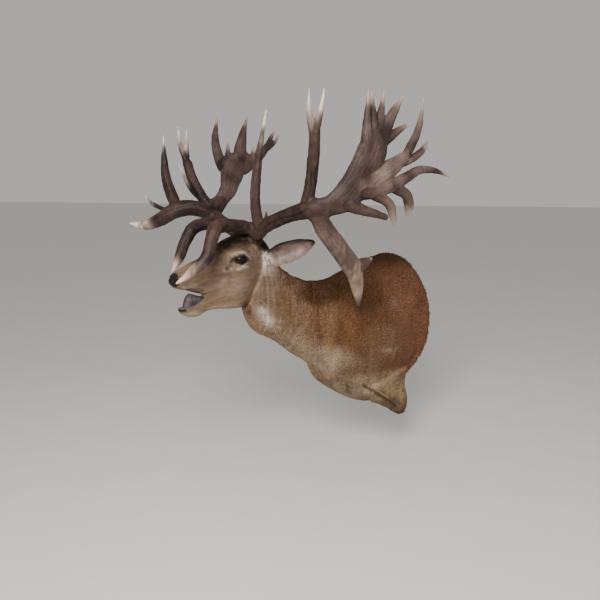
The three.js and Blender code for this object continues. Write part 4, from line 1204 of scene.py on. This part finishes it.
# side: branch: tubes of path, radii, breadth over thickness, broad direction; body frame, millimetres
ANTLERS = {
    1: {
        "beam": [
            [[[742, 54, 492], [738, 112, 520], [732, 210, 554], [716, 290, 578], [695, 345, 592],
              [664, 368, 602]], [30, 26, 25, 27, 33, 28]],
            [[[735, 122, 530], [743, 132, 590]], [10, 2]]],
        "brow": [[[[745, 62, 508], [815, 62, 522], [890, 84, 528], [938, 111, 520], [964, 127, 478],
                   [988, 139, 430], [1035, 130, 386], [1092, 104, 342]], [24, 22, 24, 25, 22, 21, 17, 4]]],
        "bez": [[[[748, 90, 515], [782, 122, 610], [806, 178, 732], [812, 246, 912]], [19, 18, 15, 3]]],
        "trez": [
            [[[702, 307, 580], [708, 343, 660], [722, 381, 775], [732, 398, 850]], [22, 20, 19, 17]],
            [[[736, 392, 832], [752, 394, 890], [758, 402, 965]], [13, 10, 2]],
            [[[734, 400, 828], [728, 420, 890], [726, 438, 965]], [13, 10, 2]]],
        "down": [
            [[[690, 342, 590], [658, 356, 526], [590, 360, 448], [508, 340, 368], [444, 294, 285],
              [390, 242, 203]], [32, 34, 36, 38, 28, 10], 1.5, [0.6, 0, -0.8]],
            [[[530, 338, 376], [484, 345, 382], [428, 355, 408]], [29, 27, 10], 1.4, UP]],
        "palm": [
            [[[695, 345, 594], [645, 382, 604], [592, 403, 640], [540, 408, 708], [490, 408, 785],
              [446, 400, 850]], [34, 42, 54, 56, 60, 44], 1.9, [0.75, 0, 0.66]],
            [[[524, 414, 770], [530, 418, 860], [536, 428, 975]], [24, 15, 3]],
            [[[488, 402, 820], [488, 400, 900], [486, 388, 980]], [22, 14, 3]],
            [[[462, 400, 830], [444, 394, 910], [430, 392, 985]], [20, 13, 3]],
            [[[440, 400, 830], [402, 410, 910], [360, 424, 972]], [22, 16, 3]],
            [[[430, 400, 815], [374, 415, 855], [326, 432, 882]], [20, 12, 3]]],
        "rear": [
            [[[592, 405, 640], [548, 418, 662], [460, 412, 700], [365, 400, 742], [298, 394, 792]],
             [34, 42, 40, 28, 17], 1.6, [0.4, 0, 0.9]],
            [[[306, 392, 780], [264, 400, 860], [246, 406, 978]], [17, 13, 3]],
            [[[345, 394, 742], [262, 376, 762], [192, 364, 798], [152, 352, 836]], [16, 14, 12, 3]]],
        "back": [
            [[[548, 426, 640], [480, 424, 648], [410, 412, 662], [320, 396, 690], [230, 382, 720],
              [140, 376, 720], [62, 390, 694]], [26, 22, 22, 20, 16, 11, 3]],
            [[[392, 408, 658], [318, 404, 632], [286, 390, 590], [284, 378, 552]], [20, 19, 18, 7]],
            [[[500, 430, 632], [432, 430, 606], [408, 428, 566], [390, 426, 508]], [17, 17, 14, 3]]],
        "bar": [[[[602, 410, 606], [552, 426, 586], [505, 434, 574], [428, 434, 552]], [26, 18, 14, 10]]]},
    -1: {
        "beam": [[[[748, -54, 492], [762, -102, 508], [768, -170, 528], [760, -225, 556], [732, -242, 590],
                  [708, -246, 616]], [30, 27, 27, 30, 34, 28]]],
        "brow": [[[[752, -70, 508], [830, -76, 520], [895, -82, 522], [932, -78, 506], [964, -76, 460],
                   [988, -78, 405], [1020, -84, 348]], [24, 22, 23, 23, 21, 18, 4]]],
        "trez": [
            [[[756, -236, 560], [794, -260, 620], [824, -284, 698], [838, -298, 768]], [22, 21, 20, 18]],
            [[[837, -295, 752], [852, -316, 820], [858, -322, 896]], [13, 10, 2]],
            [[[838, -298, 746], [828, -314, 820], [820, -322, 890]], [13, 10, 2]],
            [[[788, -256, 606], [822, -306, 656], [848, -350, 752]], [15, 11, 2]]],
        "curve": [
            [[[764, -200, 530], [812, -214, 566], [866, -235, 578], [912, -266, 566], [950, -310, 534],
              [994, -362, 508], [1040, -428, 514]], [28, 29, 31, 31, 27, 20, 4]],
            [[[900, -264, 570], [912, -332, 694], [898, -370, 864]], [24, 19, 3]],
            [[[905, -290, 556], [920, -414, 580], [950, -488, 626]], [12, 8, 2]],
            [[[912, -340, 566], [928, -430, 582], [942, -486, 604]], [7, 6, 2]]],
        "palm": [
            [[[732, -240, 588], [684, -246, 640], [645, -280, 700], [596, -304, 765]], [34, 37, 50, 54],
             1.8, [0.8, 0, 0.5]],
            [[[672, -306, 728], [590, -308, 752], [506, -306, 758]], [44, 52, 38], 1.8, UP],
            [[[668, -308, 725], [668, -366, 845], [636, -398, 962]], [24, 17, 3]],
            [[[592, -306, 760], [560, -324, 868], [524, -336, 962]], [32, 18, 3]],
            [[[520, -308, 760], [452, -318, 815], [390, -310, 926]], [24, 16, 3]],
            [[[450, -318, 812], [405, -310, 848], [374, -305, 902]], [12, 9, 2]],
            [[[640, -310, 770], [630, -328, 862]], [14, 2]],
            [[[520, -308, 780], [504, -320, 846]], [14, 2]]]}}


def centreline(path, step=5.0):
    """Even points on a smooth curve, with where each lies between the path's own points."""
    p = np.array(path, float)
    p = np.concatenate([[2 * p[0] - p[1]], p, [2 * p[-1] - p[-2]]])
    d = np.sqrt(np.linalg.norm(np.diff(p, axis=0), axis=1))
    u = np.linspace(0, 1, 33)[:, None]
    parts = []
    for k in range(len(path) - 1):
        a, b, c, e = p[k:k + 4]
        t1 = d[k + 1] * ((b - a) / d[k] - (c - a) / (d[k] + d[k + 1]) + (c - b) / d[k + 1])
        t2 = d[k + 1] * ((c - b) / d[k + 1] - (e - b) / (d[k + 1] + d[k + 2]) + (e - c) / d[k + 2])
        curve = b + t1 * u + (3 * (c - b) - 2 * t1 - t2) * u ** 2 + (2 * (b - c) + t1 + t2) * u ** 3
        parts.append(np.concatenate([curve, k + u], axis=1)[k > 0:])
    rows = np.concatenate(parts)
    run = np.concatenate([[0], np.cumsum(np.linalg.norm(np.diff(rows[:, :3], axis=0), axis=1))])
    even = np.linspace(0, run[-1], max(4, round(run[-1] / step)) + 1)
    rows = np.stack([np.interp(even, run, rows[:, k]) for k in range(4)], 1)
    return rows[:, :3], rows[:, 3], even


def branch(path, radii, flat=1.0, broad=UP):
    """One tube's rings as rows of centre, along, wide, thin, radius, run and what is left to its tip."""
    centre, spot, run = centreline(path)
    along = unit(np.gradient(centre, axis=0))
    share = spot * (len(radii) - 1) / (len(path) - 1)
    smooth = through(np.array(radii, float)[:, None], 32)[:, 0]
    radius = np.interp(share * 32, np.arange(len(smooth)), smooth)
    left = run[-1] - run
    if radii[-1] <= 10:
        radius = radius * np.sqrt(np.clip(left / (1.3 * radius + 3), 0.02, 1))
    else:
        radius = radius * np.sqrt(np.clip((left + 2) / (0.8 * radius), 0.02, 1))
    wide = np.tile(np.array(broad if flat > 1 else (0.31, 0.17, 0.93), float), (len(centre), 1))
    wide = unit(wide - along * np.einsum("ij,ij->i", wide, along)[:, None])
    if flat <= 1:
        for r in range(1, len(wide)):
            wide[r] = unit(wide[r - 1] - along[r] * (wide[r - 1] @ along[r]))
    thin = np.cross(along, wide)
    return {"centre": centre, "along": along, "wide": wide, "thin": thin, "radius": np.maximum(radius, 0.4),
            "flat": flat, "run": run, "left": left, "tip": radii[-1] <= 10}


def branch_shell(b, around=26):
    angle = np.linspace(0, 2 * np.pi, around, endpoint=False)[:, None, None]
    r = b["radius"][:, None]
    rings = b["centre"] + np.cos(angle) * r * b["wide"] + np.sin(angle) * r / b["flat"] * b["thin"]
    return skin_rings(rings.transpose(1, 0, 2))


def bone(side):
    """All branches of one antler."""
    return {name: [branch(*tube) for tube in tubes] for name, tubes in ANTLERS[side].items()}


print("branches:", {side: len(table) for side, table in ANTLERS.items()})

# %% [markdown]
# The burr is the rough crown at the antler's foot. Every point of the remeshed bone is then given to the branch
# whose surface it is nearest to, so that it knows how far along and round that branch it lies. Grooves, colour
# and the ivory of the tips all follow from those numbers.

# %% Bone surface
ANTLER_VOXEL = 0.0031
BURR = [(33, -4), (35, 0.3), (39, 5), (39.5, 10), (37, 15), (33, 20), (29, 26)]
# branch: length of the worn tip, and its colour. The low branch's long pale stretch is partly wear and partly painted
# light, lightening the underside that faces away from the lamps
IVORY = (0.74, 0.64, 0.53)
WORN = {"brow": (160, (0.68, 0.48, 0.41)), "bez": (150, IVORY), "trez": (150, IVORY), "curve": (165, IVORY),
        "palm": (90, (0.42, 0.31, 0.24)), "rear": (110, (0.38, 0.31, 0.27)), "back": (85, (0.32, 0.25, 0.20)),
        "down": (470, (0.44, 0.310, 0.220)), "beam": (30, IVORY), "bar": (30, IVORY)}
BONE_DARK, BONE_RIDGE = np.array([0.011, 0.006, 0.005]), np.array([0.078, 0.044, 0.034])
# lightness added to the dark bone of a branch: partly its own paler tone, partly painted light on faces that catch
# the lamps, as on the rear branch's inner face and the low tine
PALER = {"bez": 0.025, "palm": 0.03, "rear": 0.10, "back": 0.07, "bar": 0.02, "down": 0.03}
MOST_TUBES = 17                 # more than any branch has, so that one number names branch and tube
PALM_GROOVES = 0.26             # grooves to a millimetre of radius
LOW_TIP_DARKENING = {"ends": 125, "fades": 95, "depth": 0.8}     # dark end of the low branch, mm from its tip
SIDE_TINE = {"down": 0.06, "curve": 0.55}     # how much of the worn length its side tines have


def make_antler(side, name):
    branches = bone(side)
    top, along = pedicle_axis(side)
    shells = [branch_shell(b) for tubes in branches.values() for b in tubes]
    shells.append(turned(top, along, BURR))
    p, f = join_shells(shells)
    piece = new_object(name, body_to_wall(p), f)
    settle(piece, [("REMESH", {"mode": "VOXEL", "voxel_size": ANTLER_VOXEL, "adaptivity": 0.0})])
    keep_largest(piece)
    points = relax(points_of(piece), edges_of(piece), 0.5, 5)
    put_points(piece, points)
    points = wall_to_body(points)

    rows, order, grooves, worn, worn_colour, flat, blunt = [], [], [], [], [], [], []
    for number, (branch_name, tubes) in enumerate(branches.items()):
        for k, b in enumerate(tubes):
            count = len(b["run"])
            rows.append(np.concatenate([b["centre"], b["along"], b["wide"], b["thin"], b["radius"][:, None],
                                        b["run"][:, None], b["left"][:, None]], 1))
            order.append(np.full(count, MOST_TUBES * number + k))
            grooves.append(np.full(count, np.clip(b["radius"].mean() * PALM_GROOVES, 3, 13).round()))
            flat.append(np.full(count, b["flat"]))
            length, colour = WORN[branch_name]
            length = 90 if side < 0 and branch_name == "brow" else length
            share = SIDE_TINE.get(branch_name, 1) if k else 1
            worn.append(np.full(count, length if b["tip"] else 1.0) * share)
            blunt.append(np.full(count, not b["tip"] and b["radius"].mean() > 24))
            worn_colour.append(np.tile(colour, (count, 1)))
    rows, order, worn, grooves, flat, blunt = (
        np.concatenate(part) for part in (rows, order, worn, grooves, flat, blunt))
    worn_colour = np.concatenate(worn_colour)
    nearest = np.empty(len(points), int)
    axes = [rows[:, k:k + 3].T for k in (3, 6, 9)]
    middles = [np.einsum("ij,ji->i", rows[:, :3], axis) for axis in axes]
    for start in range(0, len(points), 8192):
        part = points[start:start + 8192]
        out = sum(((part @ axis - middle) * stretch) ** 2
                  for axis, middle, stretch in zip(axes, middles, (1.0, 1.0, flat)))
        nearest[start:start + 8192] = (np.sqrt(out) - rows[:, 12]).argmin(1)
    row, order, worn, worn_colour = rows[nearest], order[nearest], worn[nearest], worn_colour[nearest]
    grooves = grooves[nearest]
    q = points - row[:, :3]
    dot = [np.einsum("ij,ij->i", q, row[:, k:k + 3]) for k in (3, 6, 9)]
    theta = np.arctan2(dot[2], dot[1])
    run, left, radius = row[:, 13] + dot[0], row[:, 14] - dot[0], row[:, 12]

    root = (1 - ease(run / radius, 0.5, 2.4)) * (order > 0) * ease(radius, 15, 27)
    root = np.maximum(root, (1 - ease(left, 15, 75)) * blunt[nearest])
    points = points + (relax(points, edges_of(piece), 0.5, 90) - points) * root[:, None]
    put_points(piece, body_to_wall(points))
    burr = np.exp(-(np.linalg.norm(points - top - along * 10, axis=1) / 46) ** 4)
    ivory = np.clip(1 - left / worn, 0, 1) * (worn > 5)
    keep = (1 - ease(worn * 0.75 - left, 0, 25)) * (1 - burr) * (1 - root)
    drift = 0.9 * cloud(points, 60, 11) + 0.004 * run
    groove = np.zeros(len(points))
    for k, (share, deep) in enumerate(((1.0, 1.1), (1.7, 0.7), (2.9, 0.4))):
        wave = np.sin(np.round(grooves * share) / 2 * theta + order * 1.7 + k + drift * (1 + k))
        groove += deep * np.exp(-(wave / 0.42) ** 2)
    rough = 1.0 * cloud(points, 17, 21) + 0.6 * cloud(points, 8, 22)
    pearled = ease(130 - run, 0, 100) * (order % MOST_TUBES == 0) + 0.6 * burr
    ridges = 2.6 * np.abs(cloud(points, 9, 31)) * np.clip(pearled, 0, 1)
    normals = normals_of(piece)
    height = (0.9 - groove) * keep + rough * (0.35 + 0.65 * keep) + ridges + 2.5 * burr * cloud(points, 13, 35)
    height = np.where(radius < 6, height * 0.3, height)
    points = body_to_wall(points) + normals * height[:, None] * 0.9
    put_points(piece, points)

    ridge = np.clip(0.40 - 0.20 * groove * keep + 0.42 * cloud(points, 70, 41) + 0.22 * cloud(points, 18, 42), 0, 1)
    tint = BONE_DARK + (BONE_RIDGE - BONE_DARK) * ridge[:, None]
    paler = np.array([PALER.get(branch_name, 0) for branch_name in branches])[order // MOST_TUBES]
    paler = paler * ease(run, -10, 70) * (1 + 1.2 * cloud(points, 50, 44)).clip(0)
    tint = tint + paler[:, None] * [1, 0.72, 0.62]
    edge = ease(ivory + 0.20 * cloud(points * [1, 1, 0.4], 14, 43), 0.04, 0.96) ** 1.6
    tint = tint + (worn_colour - tint) * edge[:, None]
    if "down" in branches:
        low_branch = order == MOST_TUBES * list(branches).index("down")
        tint = tint * (1 - LOW_TIP_DARKENING["depth"] * low_branch * ease(LOW_TIP_DARKENING["ends"] - left, 0, LOW_TIP_DARKENING["fades"]))[:, None]
    attribute(piece, "tint", np.concatenate([tint, np.ones((len(tint), 1))], 1))
    grain = np.stack([np.cos(theta), np.sin(theta), run / 60], 1)
    attribute(piece, "grain", grain + (points / 45 - grain) * root[:, None])
    attribute(piece, "ivory", ivory)
    attribute(piece, "pearled", np.clip(pearled, 0, 1) * (1 - ivory))
    smooth_shading(piece)
    print(name, len(piece.data.polygons), "faces", len(nearest), "points")
    return piece


antlers = {side: make_antler(side, name) for side, name in ((1, "antler_left"), (-1, "antler_right"))}

# %% [markdown]
# ## Glass eyes
# Taxidermists set glass eyes: dark brown, with a wide, level pupil and a clear cornea that stands a little proud.
# The ball is a sphere with its pole on the gaze, so the cornea is a swelling round that pole. How far each point
# is from the gaze is stored, and the shader paints pupil, iris and rim from it.

# %% Eyes
CORNEA = {"rise": 1.3, "spread": 0.62}     # mm, radians from the gaze


def make_eye(side, name):
    gaze = unit(np.array([0.22, side * 0.96, 0.06]))
    level = unit(np.array([1.0, 0, 0]) - gaze * gaze[0])
    upright = np.cross(level, gaze) * side
    polar = np.linspace(0, np.pi, 40)[1:-1]
    angle = np.linspace(0, 2 * np.pi, 56, endpoint=False)[:, None]
    rings = []
    for a in polar:
        radius = EYE_RADIUS + CORNEA["rise"] * math.exp(-(a / CORNEA["spread"]) ** 4)
        around = np.cos(angle) * level + np.sin(angle) * upright
        rings.append(EYE_CENTRE * [1, side, 1] + radius * (math.cos(a) * gaze + math.sin(a) * around))
    points, faces = skin_rings(rings)
    piece = new_object(name, head_to_wall(points), faces)
    q = points - EYE_CENTRE * [1, side, 1]
    attribute(piece, "gaze", np.stack([q @ level, q @ upright, q @ gaze], 1) / EYE_RADIUS)
    smooth_shading(piece)
    return piece


eyes = {side: make_eye(side, name) for side, name in ((1, "glass_eye_left"), (-1, "glass_eye_right"))}
print("eye faces:", len(eyes[1].data.polygons))

# %% [markdown]
# ## Tongue
# The tongue shows in the open mouth: arched up to the palate, furrowed along its middle, and rounded at the tip.
# It is a loft of ovals with the furrow pressed into the top, and small lumps for the papillae.

# %% Tongue
# x, top z, bottom z, half width
TONGUE_STATIONS = [[128, -108, -124, 14], [155, -105, -128, 17], [180, -93, -134, 18], [203, -82, -139, 18],
                   [220, -93, -141, 15], [232, -113, -140, 9.5], [237, -122, -137, 4.5]]
angle = np.linspace(0, 2 * np.pi, 48, endpoint=False)
rings = []
for x, high, low, half in through(TONGUE_STATIONS, 8):
    y = half * np.cos(angle)
    z = (high + low) / 2 + (high - low) / 2 * np.sin(angle)
    furrow = 2.6 * np.exp(-(y / (0.22 * half + 1.2)) ** 2) * np.clip(np.sin(angle), 0, 1)
    rings.append(np.stack([np.full(48, x), y, z - furrow], 1))
points, faces = skin_rings(rings)
tongue = new_object("tongue_flesh", head_to_wall(points), faces)
settle(tongue, [("SUBSURF", {"levels": 1, "render_levels": 1})])
put_points(tongue, points_of(tongue) + normals_of(tongue) * 0.45 * cloud(points_of(tongue), 2.6, 51)[:, None])
smooth_shading(tongue)
print("tongue faces:", len(tongue.data.polygons))

# %% [markdown]
# ## Bone, glass, tongue and wood
# Old antler is stained dark brown by bark and sap, worn pale on its ridges, and polished to ivory at the tips. Its
# grain runs along the branch, so the streaks are noise on the grain attribute and not on plain space. Glass is
# dark and clear-coated. The tongue is a greyish lavender, darkened by painted shadow of the upper jaw, and the board
# is plain oiled beech.

# %% Materials for the hard parts
def bone_inputs(w):
    grain, place = w.stored("grain", 1), w.place()
    ivory, pearled = w.stored("ivory", 2), w.stored("pearled", 2)
    streak = w.noise(w.stretched(grain, (7, 7, 1.1)), 2.2, 6, 0.6)
    fibre = w.noise(w.stretched(grain, (24, 24, 1.6)), 2.0, 3)
    pore = w.add("ShaderNodeTexVoronoi", {}, {"Vector": place, "Scale": 260.0})
    stain = w.noise(place, 9, 5)
    dark = w.mix(streak.between(0.30, 0.72), (0.62, 0.58, 0.57, 1), (1.24, 1.20, 1.18, 1))
    base = w.mix(1 - 0.75 * ivory, w.stored("tint"), dark, "MULTIPLY")
    base = w.mix(0.5 * stain.between(0.52, 0.75) * (1 - ivory), base, (0.034, 0.020, 0.017, 1))
    base = w.mix(0.35 * ivory * fibre.between(0.5, 0.8), base, (0.33, 0.24, 0.17, 1))
    height = streak * 0.7 + fibre * 0.35 * (1 - ivory * 0.7) + pore * 0.4 * pearled
    return {"Base Color": base, "Roughness": 0.48 - 0.14 * ivory + 0.12 * (1 - streak),
            "Specular IOR Level": 0.2, "Normal": w.bump(height, 0.0012, 0.5)}


def glass_inputs(w):
    gaze = w.stored("gaze", 1)
    level, upright = (w.add("ShaderNodeSeparateXYZ", {}, {0: gaze}, output=k) for k in (0, 1))
    pupil = ((level * 2.1) ** 2 + (upright * 3.6) ** 2).between(0.75, 1.15)
    iris = (level ** 2 + upright ** 2).between(0.30, 0.46)
    rays = w.noise(w.stretched(gaze, (9, 9, 2)), 3.0, 4)
    brown = w.mix(rays.between(0.35, 0.7), (0.006, 0.003, 0.002, 1), (0.022, 0.010, 0.006, 1))
    seen = w.mix(pupil, (0.002, 0.002, 0.003, 1), brown)
    return {"Base Color": w.mix(iris, seen, (0.016, 0.009, 0.006, 1)), "Roughness": 0.3,
            "Coat Weight": 0.14, "Coat Roughness": 0.03, "Specular IOR Level": 0.1}


def tongue_inputs(w):
    place = w.place()
    mottle = w.noise(place, 55, 4)
    papillae = w.add("ShaderNodeTexVoronoi", {}, {"Vector": place, "Scale": 620.0})
    # painted shadow: the tongue's greyish lavender is darkened, as the upper jaw shades it
    base = w.mix(mottle.between(0.35, 0.7), (0.034, 0.024, 0.026, 1), (0.092, 0.068, 0.070, 1))
    return {"Base Color": base, "Roughness": 0.5 + 0.12 * mottle, "Specular IOR Level": 0.3,
            "Normal": w.bump(papillae + mottle * 0.8, 0.0007, 0.5)}


def wood_inputs(w):
    place = w.place()
    wander = w.noise(place, 3.0, 3)
    rings = w.noise(w.stretched(place, (34, 34, 1.6)), 1.0, 2, 0.8)
    fibre = w.noise(w.stretched(place, (240, 240, 5)), 1.0, 3)
    base = w.mix(rings.between(0.3, 0.7), (0.31, 0.185, 0.096, 1), (0.43, 0.280, 0.155, 1))
    base = w.mix(0.4 * fibre.between(0.4, 0.7), base, (0.20, 0.11, 0.05, 1))
    base = w.mix(0.3 * wander, base, (0.36, 0.22, 0.11, 1))
    return {"Base Color": base, "Roughness": 0.5 + 0.15 * fibre,
            "Normal": w.bump(rings * 0.3 + fibre, 0.0006, 0.5)}


bone_finish = material("antler_bone", bone_inputs)
glass_finish = material("eye_glass", glass_inputs)
tongue_finish = material("tongue_skin", tongue_inputs)
wood_finish = material("board_beech", wood_inputs)
for piece in antlers.values():
    piece.data.materials.append(bone_finish)
for piece in eyes.values():
    piece.data.materials.append(glass_finish)
tongue.data.materials.append(tongue_finish)
for piece_slot in bpy.data.objects["back_board"].material_slots:
    piece_slot.material = wood_finish
print("materials:", len(bpy.data.materials))

# %% [markdown]
# ## Which solid each piece stands for
# The plain solids stay for physics. Each piece rides on the root body, and the solids it replaces are hidden.

# %% Ride, replace and slot
def stands_for(piece, nodes):
    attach(piece, "root")
    if nodes:
        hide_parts(*nodes)


FLESH = ["trunk", "neck", "leg_left", "leg_right", "head", "lower_jaw", "nose", "ear_left", "ear_right"]
stands_for(skin, FLESH)
for side, word in ((1, "left"), (-1, "right")):
    stands_for(antlers[side], [n for n in frame["nodes"] if n.startswith("antler_" + word)])
    stands_for(eyes[side], ["eye_" + word])
for piece in coats:
    stands_for(piece, [])
stands_for(tongue, ["tongue"])
print("replaced:", len(frame["nodes"]) - 1, "of", len(frame["nodes"]), "nodes")

# %% [markdown]
# ## Floor and light
# A plain pale floor lies below the mount. A wide, soft light stands above and to the left of the camera, a weak
# wide one stands to the right, and the pale surroundings fill the shadows, as a white room does.

# %% Floor and lights
FLOOR_Z = -0.62
bpy.ops.mesh.primitive_plane_add(size=60)
floor = bpy.context.object
floor.name = "floor"
floor.data.transform(Matrix.Translation((0, 0, FLOOR_Z)))
floor.data.materials.append(material("floor_pale", lambda w: {
    "Base Color": w.mix(w.noise(w.place(), 6, 4), (0.70, 0.69, 0.67, 1), (0.76, 0.75, 0.73, 1)),
    "Roughness": 0.7}))


def soft_light(name, location, target, size, power, colour=(1, 1, 1)):
    data = bpy.data.lights.new(name, "AREA")
    data.size, data.energy, data.color = size, power, colour
    light = bpy.data.objects.new(name, data)
    light.location = location
    light.rotation_euler = (Vector(target) - Vector(location)).to_track_quat("-Z", "Y").to_euler()
    bpy.context.scene.collection.objects.link(light)


soft_light("key_light", (-0.15, -3.1, 1.75), (-0.38, -0.4, 0.25), 1.0, 136, (1.0, 0.98, 0.95))
soft_light("fill_light", (2.6, -2.0, 1.4), (-0.3, -0.4, 0.2), 2.2, 24)
world = bpy.data.worlds.new("pale_room")
world.use_nodes = True
world.node_tree.nodes["Background"].inputs["Color"].default_value = (0.86, 0.83, 0.80, 1)
world.node_tree.nodes["Background"].inputs["Strength"].default_value = 0.58
bpy.context.scene.world = world
